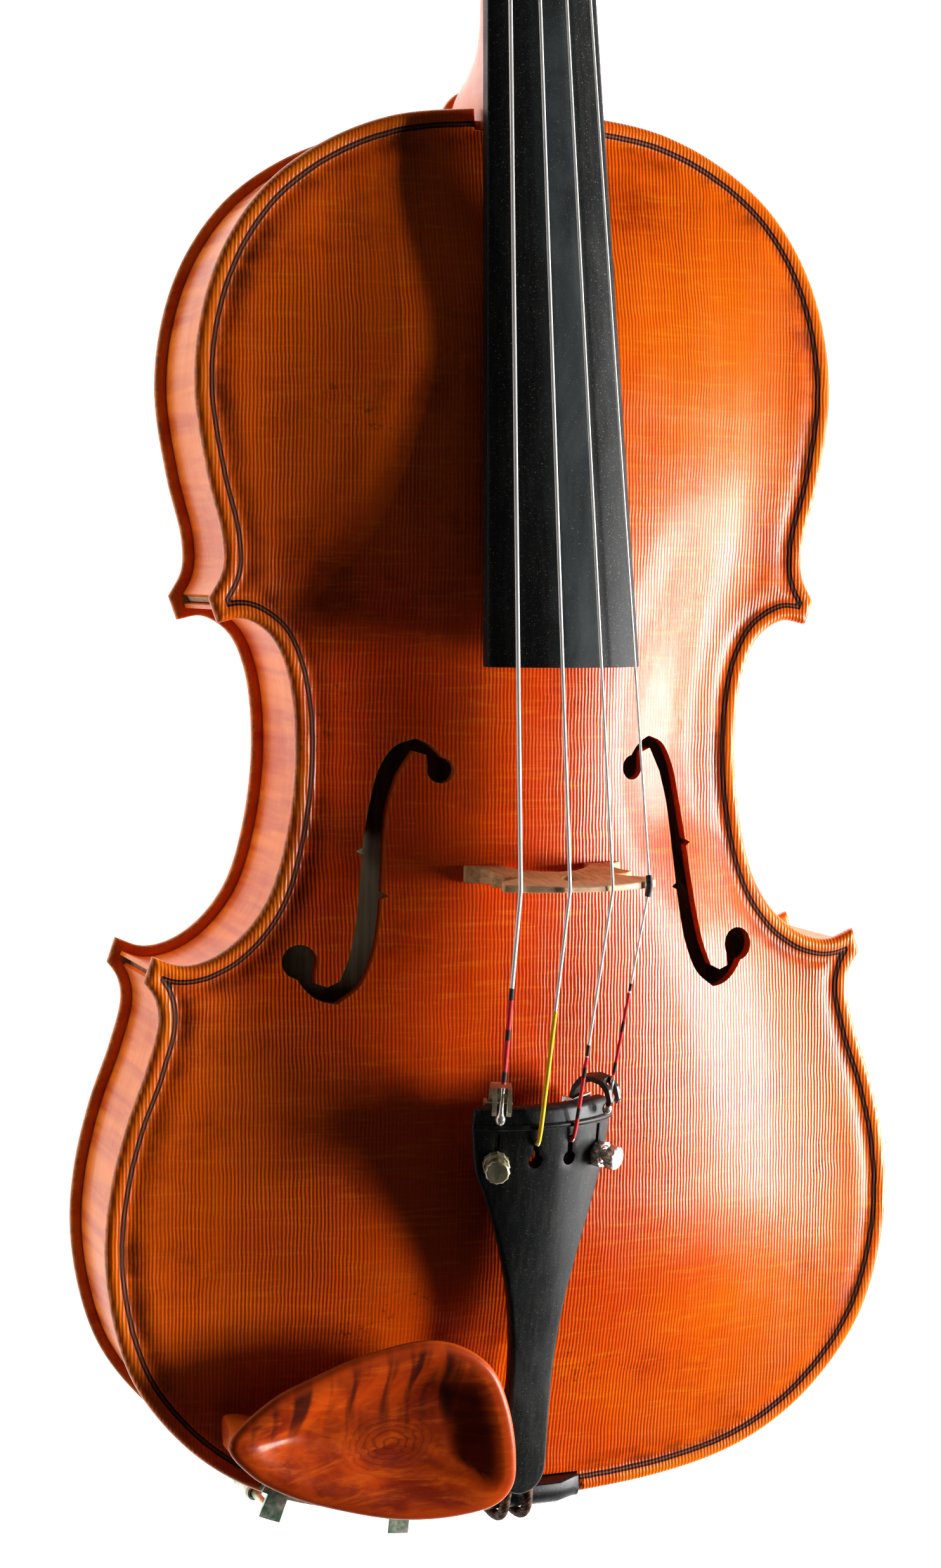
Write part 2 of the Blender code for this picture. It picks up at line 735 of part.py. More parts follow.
def f_hole():
    """The treble f-hole as one loop: upper eye, outer side, lower eye, and back up the inner side."""
    loop = arc(F_UPPER_EYE, 15, -265, 7) + [Vector(F_TOP)]
    loop += nicked(curve_through(F_OUTER, 14), 1)
    loop += [Vector(p) for p in F_LOWER_WING]
    loop += arc(F_LOWER_EYE, 205, -80, 8) + [Vector(F_BOTTOM)]
    loop += list(reversed(nicked(curve_through(F_INNER, 13), -1)))
    loop += [Vector(p) for p in F_UPPER_WING]
    return [to_body(p) for p in loop]


def plates():
    """The belly with its f-holes and the back with its button."""
    treble = f_hole()
    bass = mirrored(reversed(treble))
    inner = CHANNEL_LOOP + grid_points(CHANNEL_LOOP, [treble, bass], PLATE_GRID, PLATE_GRID / 2)
    top = slab("top_plate", top_outline(), [bass, treble], inner,
               lambda x, y: ((x, y, belly_under(x, y)), (x, y, belly(x, y))))
    finish(top, SPRUCE)
    inner = CHANNEL_LOOP + grid_points(CHANNEL_LOOP, [], PLATE_GRID, PLATE_GRID / 2)
    low = slab("back_plate", back_outline(), [], inner,
               lambda x, y: ((x, y, back_under(x, y)), (x, y, back_inner(x, y))))
    finish(low, MAPLE)


def ribs(mortise, button_hole):
    low = RIB_LOW_Z + FIT
    high = RIB_HIGH_Z - FIT
    for index, (name, window) in enumerate(zip(("lower", "middle", "upper"), RIB_WINDOWS)):
        outer = stretch(index, OVERHANG, *window)
        inner = stretch(index, OVERHANG + RIB_THICKNESS, *window)
        if index == 0:
            outer[0].x = inner[0].x = FIT / 2
        for side, a, b in (("treble", outer, inner), ("bass", mirrored(outer), mirrored(inner))):
            rings = [
                [(p.x, p.y, low), (p.x, p.y, high), (q.x, q.y, high), (q.x, q.y, low)]
                for p, q in zip(a, b)
            ]
            rib = finish(new_object(f"{name}_rib_{side}", *loft(rings)), MAPLE)
            if name != "middle":
                boolean(rib, button_hole if name == "lower" else mortise)


def lining_half():
    """The middle line of the linings: along the ribs, and straight through each block."""
    distance = OVERHANG + RIB_THICKNESS + FIT + LINING_WIDTH / 2
    low, middle, high = (
        stretch(index, distance, *window) for index, window in enumerate(LINING_WINDOWS)
    )
    low[0].x = 0
    behind = BODY_TOP_Y - MORTISE - 2 * LINING_WIDTH
    return low + middle + high + [Vector((NECK_ROOT_WIDTH / 2, behind)), Vector((0, behind))]


def band(name, half, width, low, high):
    """A ring of wood: the treble half line and its mirror image, with a width and a height."""
    loop = list(half) + mirrored(reversed(half[1:-1]))
    rings = []
    for k, p in enumerate(loop):
        along = loop[(k + 1) % len(loop)] - loop[k - 1]
        side = Vector((-along.y, along.x)).normalized() * width / 2
        a = p - side
        b = p + side
        rings.append([(a.x, a.y, low), (a.x, a.y, high), (b.x, b.y, high), (b.x, b.y, low)])
    return new_object(name, *loft(rings, closed=True))


def linings():
    """Each plate's lining strips, joined where they are let into the blocks, and their rebates."""
    half = lining_half()
    high = RIB_HIGH_Z - FIT
    low = RIB_LOW_Z + FIT
    wide = LINING_WIDTH + 2 * FIT
    finish(band("top_linings", half, LINING_WIDTH, high - LINING_HEIGHT, high), INNER_WOOD)
    finish(band("back_linings", half, LINING_WIDTH, low, low + LINING_HEIGHT), INNER_WOOD)
    top = band("top_rebate", half, wide, high - LINING_HEIGHT - FIT, high + LINING_WIDTH)
    back = band("back_rebate", half, wide, low - LINING_WIDTH, low + LINING_HEIGHT + FIT)
    return helper(top), helper(back)


def corner_loop(index):
    """The plan of the block in the corner between a run and the next one."""
    distance = OVERHANG + RIB_THICKNESS + FIT
    loop = []
    for step, window in enumerate(BLOCK_WINDOWS[index]):
        loop += stretch(index + step, distance, *window)
    return loop


def blocks(rebates, mortise, button_hole):
    distance = OVERHANG + RIB_THICKNESS + FIT
    plans = {}
    for index, name in enumerate(("lower_corner_block", "upper_corner_block")):
        plans[f"{name}_treble"] = corner_loop(index)
        plans[f"{name}_bass"] = mirrored(corner_loop(index))
    low = stretch(0, distance, 0, BLOCK_ENDS[0])
    high = stretch(2, distance, BLOCK_ENDS[1], RUN_STEPS)
    high.reverse()
    for name, line, depth in (("lower_block", low, 1), ("upper_block", high, -1)):
        line[0].x = 0
        line.append(Vector((line[-1].x, line[0].y + depth * END_BLOCK_DEPTH)))
        plans[name] = line + mirrored(reversed(line[1:]))
    for name, plan in plans.items():
        block = prism(name, plan, RIB_LOW_Z + FIT, RIB_HIGH_Z - FIT)
        finish(block, INNER_WOOD, smooth=False)
        for rebate in rebates:
            boolean(block, rebate)
    boolean(bpy.data.objects["lower_block"], button_hole)
    boolean(bpy.data.objects["upper_block"], mortise)


def root_half(z):
    """Half the width of the neck's root, which narrows towards the back."""
    top = board_z(BODY_TOP_Y)
    return NECK_ROOT_WIDTH / 2 * (1 - NECK_ROOT_TAPER * (top - z) / (top - RIB_LOW_Z))


def neck_mortise():
    """The tapered pocket that the neck's root is glued into."""
    low = RIB_LOW_Z - PLATE_EDGE
    high = EDGE_Z + PLATE_EDGE
    corners = [(-root_half(z) - FIT, z) for z in (low, high)]
    corners += [(root_half(z) + FIT, z) for z in (high, low)]
    rings = [[(x, y, z) for x, z in corners] for y in (BODY_TOP_Y - MORTISE - FIT, BODY_TOP_Y + MORTISE)]
    return helper(new_object("mortise", *loft(rings)))


def bar_and_post():
    """The bass bar under the bass foot of the bridge, and the sound post behind the treble foot."""
    rings = []
    steps = 10
    x0 = BASS_BAR_X - BASS_BAR_WIDTH / 2
    x1 = BASS_BAR_X + BASS_BAR_WIDTH / 2
    for k in range(steps + 1):
        y = BASS_BAR_LENGTH * (k / steps - 0.5)
        deep = BASS_BAR_HEIGHT * (0.3 + 0.7 * math.sin(math.pi * k / steps))
        top = min(belly_under(x0, y), belly_under(x1, y)) - FIT - FACET_SINK
        rings.append([(x0, y, top), (x1, y, top), (x1, y, top - deep), (x0, y, top - deep)])
    finish(new_object("bass_bar", *loft(rings)), INNER_WOOD, smooth=False)
    y = BRIDGE_Y - SOUND_POST_SETBACK
    low = back_inner(SOUND_POST_X + SOUND_POST_RADIUS, y) + FIT + FACET_SINK
    high = belly_under(SOUND_POST_X + SOUND_POST_RADIUS, y) - FIT - FACET_SINK
    post = rod("sound_post", ((low, SOUND_POST_RADIUS), (high, SOUND_POST_RADIUS)), 12)
    post.location = (SOUND_POST_X, y, 0)
    finish(post, INNER_WOOD)


def board_z(y):
    """The glue plane between neck and fingerboard."""
    return EDGE_Z + OVERSTAND - NECK_SLOPE * (y - BODY_TOP_Y)


def board_half(y):
    """Half the fingerboard's width, which grows evenly from the nut."""
    return NUT_WIDTH / 2 + (BOARD_END_WIDTH - NUT_WIDTH) / 2 * (NUT_Y - y) / BOARD_LENGTH


def crown(x, radius):
    """How far a round top has dropped at a distance from its middle."""
    return radius - math.sqrt(radius ** 2 - x ** 2)


def board_top(x, y):
    return board_z(y) + BOARD_SIDE + crown(board_half(y), BOARD_RADIUS) - crown(x, BOARD_RADIUS)


def fingerboard():
    end = NUT_Y - BOARD_LENGTH
    rings = []
    glued = (NUT_Y - FIT, BODY_TOP_Y + NECK_LENGTH / 2, BODY_TOP_Y)
    hollow_start = BODY_TOP_Y - 2 * MORTISE
    free = [hollow_start + (end - hollow_start) * k / 4 for k in range(5)]
    for y in (*glued, *free):
        half = board_half(y)
        scoop = BOARD_SCOOP if y <= hollow_start else 0
        ring = []
        for k in range(9):
            x = half * math.sin(math.pi / 2 * (k / 4 - 1))
            ring.append((x, y, board_top(x, y)))
        for k in range(5):
            a = math.pi / 2 * (1 - k / 2)
            ring.append((0.96 * half * math.sin(a), y, board_z(y) + FIT + scoop * math.cos(a)))
        rings.append(ring)
    finish(new_object("fingerboard", *loft(rings)), EBONY)


def nut():
    """The nut, crested towards the board and falling away towards the pegs."""
    rings = []
    half = NUT_WIDTH / 2
    for along, lift in ((0, NUT_RISE), (0.35 * NUT_LENGTH, NUT_RISE), (NUT_LENGTH, -2.4 * NUT_RISE)):
        y = NUT_Y + along
        ring = []
        for k in range(9):
            x = half * (k / 4 - 1)
            ring.append((x, y, board_top(x, NUT_Y) + lift))
        ring += [(half, y, board_z(y) + FIT), (-half, y, board_z(y) + FIT)]
        rings.append(ring)
    finish(new_object("nut", *loft(rings)), EBONY)


def u_section(y, half, top, depth, power, taper, count=12):
    """A section of the neck: flat on top and round below, squarer at a higher power."""
    ring = []
    for k in range(count + 1):
        a = math.pi * k / count
        x = half * math.copysign(abs(math.cos(a)) ** (2 / power), math.cos(a))
        down = math.sin(a) ** (2 / power)
        ring.append((x * (1 - taper * down), y, top - depth * down))
    return ring


# The neck's heel: distance past the body's edge, half width, share of the full depth, power, taper
HEEL = (
    (-6, 16.5, 1.0, 8, 0.34), (1, 16.5, 1.0, 8, 0.34), (8, 16, 1.0, 6, 0.42),
    (12.5, 15.9, 0.9, 4, 0.45), (16, 16, 0.7, 3, 0.36), (21, 16.2, 0.48, 2.5, 0.2),
    (29, 16, 0.34, 2.2, 0.05), (42, 15.6, 0.285, 2.1, 0),
)
# The pegbox: distance past the nut's front, half width, its top below the board's plane, its depth
PEGBOX = (
    (6.4, 12.4, 0, 16), (7.2, 12.6, -1.2, 19), (14, 13, -1.6, 24.6), (24, 13.1, -1.4, 28.4),
    (42, 12.9, -0.2, 27.2), (62, 12.1, 2.6, 21.8), (74, 11.4, 4.3, 18.6), (80.5, 11, 7.5, 20.2),
    (86, 10.3, 12, 18.6), (92, 9.4, 16, 12),
)
# The pegbox's slot: distance past the nut's front, half width, depth below the board's plane
PEG_SLOT = ((8.5, 8, 15.5), (20, 8.5, 21), (50, 7.7, 19.8), (82, 6.2, 14.4))


def neck():
    """The neck's root, heel, shaft, pegbox and scroll, in one piece of maple."""
    rings = []
    for along, half, share, power, taper in HEEL:
        y = BODY_TOP_Y + along * MM
        wide = half * MM * NECK_ROOT_WIDTH / (33 * MM)
        deep = board_z(y) - RIB_LOW_Z - FIT
        rings.append(u_section(y, wide, board_z(y), deep * share, power, taper))
    shaft_start = rings[-1][0][1]
    for share in (0.5, 0.92, 1.0):
        y = shaft_start + (NUT_Y - shaft_start) * share
        rings.append(u_section(y, board_half(y) - FIT, board_z(y), NECK_THICKNESS, 2.1, 0))
    for along, half, drop, depth in PEGBOX:
        y = NUT_Y + along * MM
        rings.append(u_section(y, half * MM, board_z(y) - drop * MM, depth * MM, 7, 0))
    obj = finish(new_object("neck", *loft(rings)), MAPLE)
    boolean(obj, volute(), "UNION")
    slot = []
    for along, half, depth in PEG_SLOT:
        y = NUT_Y + along * MM
        low = board_z(y) - depth * MM
        high = EDGE_Z + OVERSTAND
        inner = half * MM
        slot.append([(-inner, y, low), (inner, y, low), (inner, y, high), (-inner, y, high)])
    boolean(obj, helper(new_object("pegbox_slot", *loft(slot))))
    for name, _, side, along, _ in STRINGS:
        reach = SCROLL_WIDTH / 2 + PEG_RADIUS
        ends = [(side * d, bore(peg_radius(d), 14)) for d in (-reach, reach)]
        hole = helper(rod(f"{name}_peg_hole", ends, 14, "X"))
        hole.location = peg_axis(along)
        boolean(obj, hole)


def scroll_radius(turn):
    return SCROLL_RADIUS * SCROLL_SHRINK ** turn


def scroll_half(turn):
    """Half the scroll's width along its spiral: narrowest at the front, widest at the eye."""
    narrow = 0.31 + 0.15 * max(1 - turn / 0.45, 0) ** 2
    return SCROLL_WIDTH / 2 * (narrow + 0.69 * min(max((turn - 0.4) / 1.7, 0), 1))


def scroll_point(turn, radius):
    a = SCROLL_START + 2 * math.pi * turn
    centre = board_z(VOLUTE_Y) - SCROLL_DROP
    return VOLUTE_Y + radius * math.cos(a), centre + radius * math.sin(a)


def volute():
    """The scroll's spiral of walls and terraces, a closed solid that the pegbox runs into."""
    total = int(SCROLL_TURNS * SCROLL_STEPS)
    verts = []
    for k in range(total + 1):
        turn = k / SCROLL_STEPS
        first = k < SCROLL_STEPS
        high = scroll_half(turn)
        low = high - 1.2 * MM if first else scroll_half(turn - 1)
        radius = scroll_radius(turn)
        foot = scroll_point(turn, radius)
        rim = scroll_point(turn, radius * (0.94 if first else 0.97))
        verts += [(low, *foot), (high, *rim), (-low, *foot), (-high, *rim)]
    faces = []
    for k in range(total):
        n = 4 * k
        m = n + 4
        faces += [(n, m, m + 1, n + 1), (n + 2, n + 3, m + 3, m + 2)]
        if k < SCROLL_STEPS:
            faces.append((n, n + 2, m + 2, m))
        if k + SCROLL_STEPS < total:
            q = n + 4 * SCROLL_STEPS
            faces += [(n + 1, m + 1, q + 4, q), (n + 3, q + 2, q + 6, m + 3)]
    q = 4 * SCROLL_STEPS
    faces.append((0, 1, q, q + 2, 3, 2))
    eye = [4 * k + 1 for k in range(total - SCROLL_STEPS, total + 1)]
    middle = len(verts)
    centre = scroll_point(0, 0)
    verts += [(scroll_half(SCROLL_TURNS), *centre), (-scroll_half(SCROLL_TURNS), *centre)]
    for a, b in zip(eye, eye[1:]):
        faces += [(a, b, middle), (a + 2, middle + 1, b + 2)]
    last = 4 * total
    for a, b in ((eye[-1], last), (last, eye[0])):
        mirror_a = a + 2
        mirror_b = b + 2
        faces += [(a, b, middle), (mirror_a, middle + 1, mirror_b)]
    return helper(new_object("volute", verts, faces))


def peg_axis(along):
    """The middle of a peg, deeper in the pegbox the farther it is from the nut."""
    y = NUT_Y + along
    return Vector((0, y, board_z(y) - 7.7 * MM - 0.04 * along))


def peg_radius(out):
    """The shank's radius at a distance from the pegbox's middle towards the peg's head."""
    share = out / PEG_TAPER_LENGTH + 0.5
    return PEG_TIP_RADIUS + (PEG_RADIUS - PEG_TIP_RADIUS) * share


def winding_radius(out, radius):
    return peg_radius(out) + FIT + radius


def pegs():
    """The four pegs, each with a hole for its string."""
    wide = PEG_HEAD_WIDTH / 2
    thick = PEG_HEAD_THICKNESS / 2
    pegs_by_name = {}
    for name, _, side, along, _ in STRINGS:
        collar = 14.4 * MM
        head = collar + 6 * MM
        profile = [(d, peg_radius(d), peg_radius(d)) for d in (-13.6 * MM, -13 * MM, collar)]
        profile[0] = (profile[0][0], profile[0][1] - 0.5 * MM, profile[0][2] - 0.5 * MM)
        profile += [
            (collar + 0.4 * MM, PEG_COLLAR_RADIUS, PEG_COLLAR_RADIUS),
            (collar + 2.2 * MM, PEG_COLLAR_RADIUS, PEG_COLLAR_RADIUS),
            (collar + 2.8 * MM, PEG_RADIUS, PEG_RADIUS),
            (head, PEG_RADIUS + 0.4 * MM, thick),
        ]
        for share, width in ((0.2, 0.68), (0.42, 0.96), (0.66, 1.0), (0.86, 0.78), (0.96, 0.42)):
            profile.append((head + PEG_HEAD_LENGTH * share, wide * width, thick * (1.1 - 0.4 * share)))
        profile.append((head + PEG_HEAD_LENGTH, wide * 0.16, thick * 0.4))
        rings = []
        for out, tall, flat in profile:
            ring = []
            for k in range(12):
                a = 2 * math.pi * k / 12
                ring.append((side * out, flat * math.cos(a), tall * math.sin(a)))
            rings.append(ring)
        peg = finish(new_object(f"{name}_peg", *loft(rings)), EBONY)
        peg.location = peg_axis(along)
        pegs_by_name[name] = peg
    return pegs_by_name


def nut_point(place, radius):
    """Where a string bends over the nut."""
    x = place * NUT_SPREAD / 2
    z = board_top(x, NUT_Y) + NUT_RISE + FIT + STRING_SEAT + radius
    return Vector((x, NUT_Y + 0.35 * NUT_LENGTH, z))


def peg_tangent(place, string):
    """The point where a string meets its winding, and its direction there, on the peg's top side."""
    _, radius, side, along, arrival = string
    start = nut_point(place, radius)
    centre = peg_axis(along)
    reach = winding_radius(arrival, radius)
    gap = Vector((start.y - centre.y, start.z - centre.z))
    angle = math.atan2(gap.y, gap.x) - math.acos(reach / gap.length)
    touch = Vector((side * arrival, centre.y + reach * math.cos(angle), centre.z + reach * math.sin(angle)))
    return touch, (touch - start).normalized(), angle


def winding(place, string, peg):
    """The string's loops on its peg, from the side where it arrives to the hole in the peg."""
    name, radius, side, along, arrival = string
    touch, direction, angle = peg_tangent(place, string)
    pitch = 2 * radius + WINDING_GAP
    bend = 1.5 * radius
    centre = peg_axis(along)
    points = [touch - direction * (2.2 * radius)]
    steps = 24 * WINDING_TURNS
    last_out = arrival - pitch * WINDING_TURNS
    for k in range(steps + 1):
        out = arrival - pitch * k / 24
        reach = winding_radius(out, radius)
        a = angle - (2 * math.pi * WINDING_TURNS - bend / reach) * k / steps
        points.append(centre + Vector((side * out, reach * math.cos(a), reach * math.sin(a))))
    up = Vector((0, math.cos(angle), math.sin(angle)))
    onward = Vector((0, math.sin(angle), -math.cos(angle)))
    reach = winding_radius(last_out, radius)
    hub = centre + Vector((side * last_out, 0, 0)) + up * (reach - bend) - onward * bend
    points += [hub + (up * math.cos(t) + onward * math.sin(t)) * bend
               for t in (math.radians(30), math.radians(60), math.radians(90))]
    points.append(points[-1] - up * (2.2 * radius))
    local = [p - centre for p in points]
    obj = finish(tube(f"{name}_winding", local, radius, 1), STEEL, parent=peg)
    hole = rod(f"{name}_string_hole", ((-2 * PEG_RADIUS, radius + FIT), (2 * PEG_RADIUS, radius + FIT)), 8)
    helper(hole, peg)
    hole.matrix_local = Matrix.Translation((side * last_out, 0, 0)) @ Matrix.Rotation(
        math.pi / 2 - angle, 4, "X").inverted()
    boolean(peg, hole)
    gap = min(
        (p - q).length for k, p in enumerate(points) for q in points[k + 13:]
    ) - 2 * radius
    print(f"{name}_winding: least gap to itself {gap / MM:.2f} mm")
    return obj


def bridge_top(x):
    """The height of the bridge's upper edge: an arch, a little lower on the treble side."""
    share = 2 * x / BRIDGE_SPREAD
    return EDGE_Z + BRIDGE_RISE - BRIDGE_SIDE_DROP * share ** 2 - 0.3 * MM * share


# Half of the bridge between its foot and its upper edge, in mm out from the middle and up from the
# belly's edge: the leg, the side cut and the shoulder; then the arch between the feet and the heart
BRIDGE_SIDE = ((20.3, 18.8), (18.8, 23), (19.6, 27), (21.4, 29.8), (18.6, 32.8), (14.8, 33.4),
               (17.4, 36.4), (21.4, 38.4), (22.9, 41.6))
BRIDGE_ARCH = ((12.4, 19.4), (9.6, 23), (5.4, 26.4), (0, 27.6))
BRIDGE_HEART = ((0, 33.6), (2.2, 35.8), (3.5, 38.8), (2.8, 40.8), (1.2, 41.2), (0, 40.2))


def bridge():
    outer = BRIDGE_FOOT_SPAN / 2
    inner = outer - BRIDGE_FOOT_LENGTH
    half = [Vector((x, belly(x, BRIDGE_Y) + FIT)) for x in
            (inner, inner + BRIDGE_FOOT_LENGTH / 2, outer)]
    half.append(Vector((outer, half[-1].y + 1.3 * MM)))
    half += [Vector((x * MM, EDGE_Z + z * MM)) for x, z in BRIDGE_SIDE]
    top = BRIDGE_TOP_WIDTH / 2
    treble = half + [Vector((top * k / 6, bridge_top(top * k / 6))) for k in range(6, -1, -1)]
    bass = mirrored(half) + [Vector((-top * k / 6, bridge_top(-top * k / 6))) for k in range(6, 0, -1)]
    arch = [Vector((x * MM, EDGE_Z + z * MM)) for x, z in BRIDGE_ARCH]
    outline = treble + list(reversed(bass)) + mirrored(arch[:-1]) + list(reversed(arch))
    heart = [Vector((x * MM, EDGE_Z + z * MM)) for x, z in BRIDGE_HEART]
    heart += mirrored(reversed(heart[1:-1]))
    low = half[0].y
    high = bridge_top(0)

    def faces_at(x, z):
        share = (z - low) / (high - low)
        middle = BRIDGE_Y - BRIDGE_LEAN * share
        thick = BRIDGE_FOOT_THICKNESS + (BRIDGE_TOP_THICKNESS - BRIDGE_FOOT_THICKNESS) * share
        return (x, middle - thick / 2, z), (x, middle + thick / 2, z)

    finish(slab("bridge", outline, [heart], [], faces_at), BRIDGE_WOOD, smooth=False)


def bridge_point(place, radius):
    """Where a string bends over the bridge. The treble string is lifted by its protector tube."""
    x = place * BRIDGE_SPREAD / 2
    lift = PROTECTOR_RADIUS if place == 1 else radius
    return Vector((x, BRIDGE_Y - BRIDGE_LEAN, bridge_top(x) + FIT + STRING_SEAT + lift))


def tail_slope():
    return (TAILPIECE_TOP_RISE - TAILPIECE_END_RISE) / TAILPIECE_LENGTH


def tail_ahead():
    """The direction of the tailpiece's middle line towards the bridge."""
    return Vector((0, 1, tail_slope()))


def tail_normal(u):
    tilt = math.asin(u / TAILPIECE_RADIUS) - TAIL_ROLL
    return Vector((math.sin(tilt), -tail_slope() * math.cos(tilt), math.cos(tilt))).normalized()


def tail_point(u, y, lift=0.0):
    """A point on the tailpiece's crowned top, u from its middle line, lifted along the normal."""
    low = Vector((TAIL_X, TAILPIECE_LOW_Y, EDGE_Z + TAILPIECE_END_RISE))
    middle = low + tail_ahead() * (y - TAILPIECE_LOW_Y)
    drop = crown(u, TAILPIECE_RADIUS)
    across = u * math.cos(TAIL_ROLL) + drop * math.sin(TAIL_ROLL)
    rise = u * math.sin(TAIL_ROLL) - drop * math.cos(TAIL_ROLL)
    return middle + Vector((across, 0, rise)) + tail_normal(u) * lift


# Half of the tailpiece's plan: how far from its upper end, half its width as a share of the widest
TAIL_PLAN = ((0, 0), (0, 0.22), (0, 0.45), (0, 0.68), (0, 0.95), (0.5, 0.99), (2.5, 1.0), (10, 0.98),
             (18.9, 0.922), (23.6, 0.845), (28.4, 0.772), (38, 0.638), (47.6, 0.517), (57.2, 0.418),
             (66.9, 0.353))


def tailpiece_half():
    """Half of the tailpiece's plan outline from its upper end to its lower end."""
    wide = TAILPIECE_WIDTH / 2
    half = [Vector((wide * w, TAILPIECE_TOP_Y - d * MM)) for d, w in TAIL_PLAN]
    low = TAILPIECE_LOW_Y
    half.append(Vector((TAILPIECE_WAIST / 2, low + 0.34 * TAILPIECE_LENGTH)))
    half.append(Vector((TAILPIECE_WAIST / 2, low + 0.22 * TAILPIECE_LENGTH)))
    end = TAILPIECE_END_WIDTH / 2
    half.append(Vector((end, low + end)))
    half += [Vector((end * math.cos(a), low + end * (1 - math.sin(a))))
             for a in (math.radians(d) for d in (22, 44, 62, 84))]
    return half


def keyhole(u, radius, width, reach):
    """A round hole with a slot towards the bridge, in the tailpiece's plan."""
    start = math.asin(width / 2 / radius)
    steps = 10
    loop = [Vector((u + width / 2, STRING_HOLE_Y + reach)), Vector((u - width / 2, STRING_HOLE_Y + reach))]
    for k in range(steps + 1):
        a = math.pi / 2 + start + (2 * math.pi - 2 * start) * k / steps
        loop.append(Vector((u + radius * math.cos(a), STRING_HOLE_Y + radius * math.sin(a))))
    return loop


def tailpiece():
    half = tailpiece_half()
    outline = mirrored(reversed(half[1:])) + half
    holes = []
    spread = TAILPIECE_RADIUS / (TAILPIECE_RADIUS - TAILPIECE_THICKNESS)
    wide = bore(POST_RADIUS, 10) * spread
    for u in (-TUNER_SPREAD / 2, TUNER_SPREAD / 2):
        holes.append(keyhole(u, wide, 1.2 * MM, 8.5 * MM))
    for u in (-KEYHOLE_SPREAD / 2, KEYHOLE_SPREAD / 2):
        holes.append(keyhole(u, STRING_HOLE_RADIUS, STRING_SLOT_WIDTH, STRING_SLOT_REACH))
    fret_y = TAILPIECE_TOP_Y - FRET_INSET
    inner = grid_points(outline, holes, 8 * MM, 3.2 * MM)
    inner += [Vector((TAILPIECE_WIDTH / 2 * s, fret_y)) for s in (-0.9, -0.6, -0.3, 0, 0.3, 0.6, 0.9)]

    def skins(u, y):
        bevel = TAILPIECE_BEVEL * max(y - fret_y, 0) / FRET_INSET
        end = max(1 - (y - TAILPIECE_LOW_Y) / (0.3 * TAILPIECE_LENGTH), 0)
        thick = TAILPIECE_THICKNESS + (TAILPIECE_END_THICKNESS - TAILPIECE_THICKNESS) * min(end * 2, 1)
        return tail_point(u, y, -thick), tail_point(u, y, -bevel)

    obj = finish(slab("tailpiece", outline, holes, inner, skins), EBONY)
    for sign in (-1, 1):
        wide = bore(GUT_RADIUS, 12)
        hole = rod(f"gut_hole_{sign}", ((-3 * MM, wide), (12 * MM, wide)), 12, "Y")
        helper(hole)
        hole.location = gut_exit(sign)
        hole.rotation_euler.x = math.atan(tail_slope())
        boolean(obj, hole)
    rings = []
    for k in range(9):
        u = TAILPIECE_WIDTH * 0.485 * (k / 4 - 1)
        section = ((-0.8, FIT), (0.8, FIT), (0.35, FIT + FRET_HEIGHT), (-0.35, FIT + FRET_HEIGHT))
        rings.append([tail_point(u, fret_y + along * MM, lift) for along, lift in section])
    finish(new_object("tailpiece_fret", *loft(rings)), EBONY)


def gut_exit(sign):
    """Where a strand of the tail gut leaves the tailpiece's lower end."""
    return tail_point(sign * GUT_SPREAD / 2, TAILPIECE_LOW_Y, -TAILPIECE_END_THICKNESS / 2)


def saddle():
    """The ebony saddle, high under the tail gut and ramped down at both ends."""
    half = SADDLE_WIDTH / 2
    y0 = BODY_LOW_Y - 0.2 * MM
    y1 = BODY_LOW_Y + SADDLE_DEPTH
    rings = []
    for share, lift in ((-1, 0), (-0.92, 0.15), (-0.6, 1), (0, 1), (0.6, 1), (0.92, 0.15), (1, 0)):
        top = EDGE_Z + SADDLE_END_RISE + (SADDLE_RISE - SADDLE_END_RISE) * lift
        bevel = min(3 * MM, top - EDGE_Z)
        section = ((y0, RIB_HIGH_Z), (y0, top - bevel), (y0 + 0.4 * bevel, top - 0.4 * bevel),
                   (y0 + bevel, top - 0.08 * bevel), (y0 + 1.6 * bevel, top), (y1, top - 0.2 * bevel),
                   (y1, RIB_HIGH_Z))
        rings.append([(half * share, y, z) for y, z in section])
    finish(new_object("saddle", *loft(rings)), EBONY)


def tail_gut():
    """One loop of gut from the tailpiece, over the saddle, round the end button and back."""
    around = BUTTON_NECK_RADIUS + 1.6 * FIT + GUT_RADIUS
    groove = BODY_LOW_Y - BUTTON_REACH + BUTTON_GROOVE + 2 * MM
    crest = EDGE_Z + SADDLE_RISE + GUT_RADIUS + 2 * FIT
    edge = BODY_LOW_Y
    strands = []
    for sign in (-1, 1):
        x, y, z = gut_exit(sign)
        rising = 10 * MM * tail_slope()
        strands.append([
            (x, y + 10 * MM, z + rising), (x, y, z), (x, edge + 3.6 * MM, crest + 0.6 * MM),
            (x, edge + 1.2 * MM, crest - 0.4 * MM), (x, edge - 1.3 * MM, crest - 3 * MM),
            (x, edge - 2.5 * MM, crest - 7 * MM), (x, groove, EDGE_Z - 5 * MM),
            (0.5 * (x + sign * around), groove, EDGE_Z - 13 * MM), (sign * around, groove, MIDDLE_Z),
        ])
    under = []
    for k in range(1, 7):
        a = math.pi * (1 + k / 7)
        under.append((around * math.cos(a), groove, MIDDLE_Z + around * math.sin(a)))
    route = strands[0] + under + list(reversed(strands[1]))
    finish(tube("tail_gut", curve_through(route, 42), GUT_RADIUS, 1), GUT)


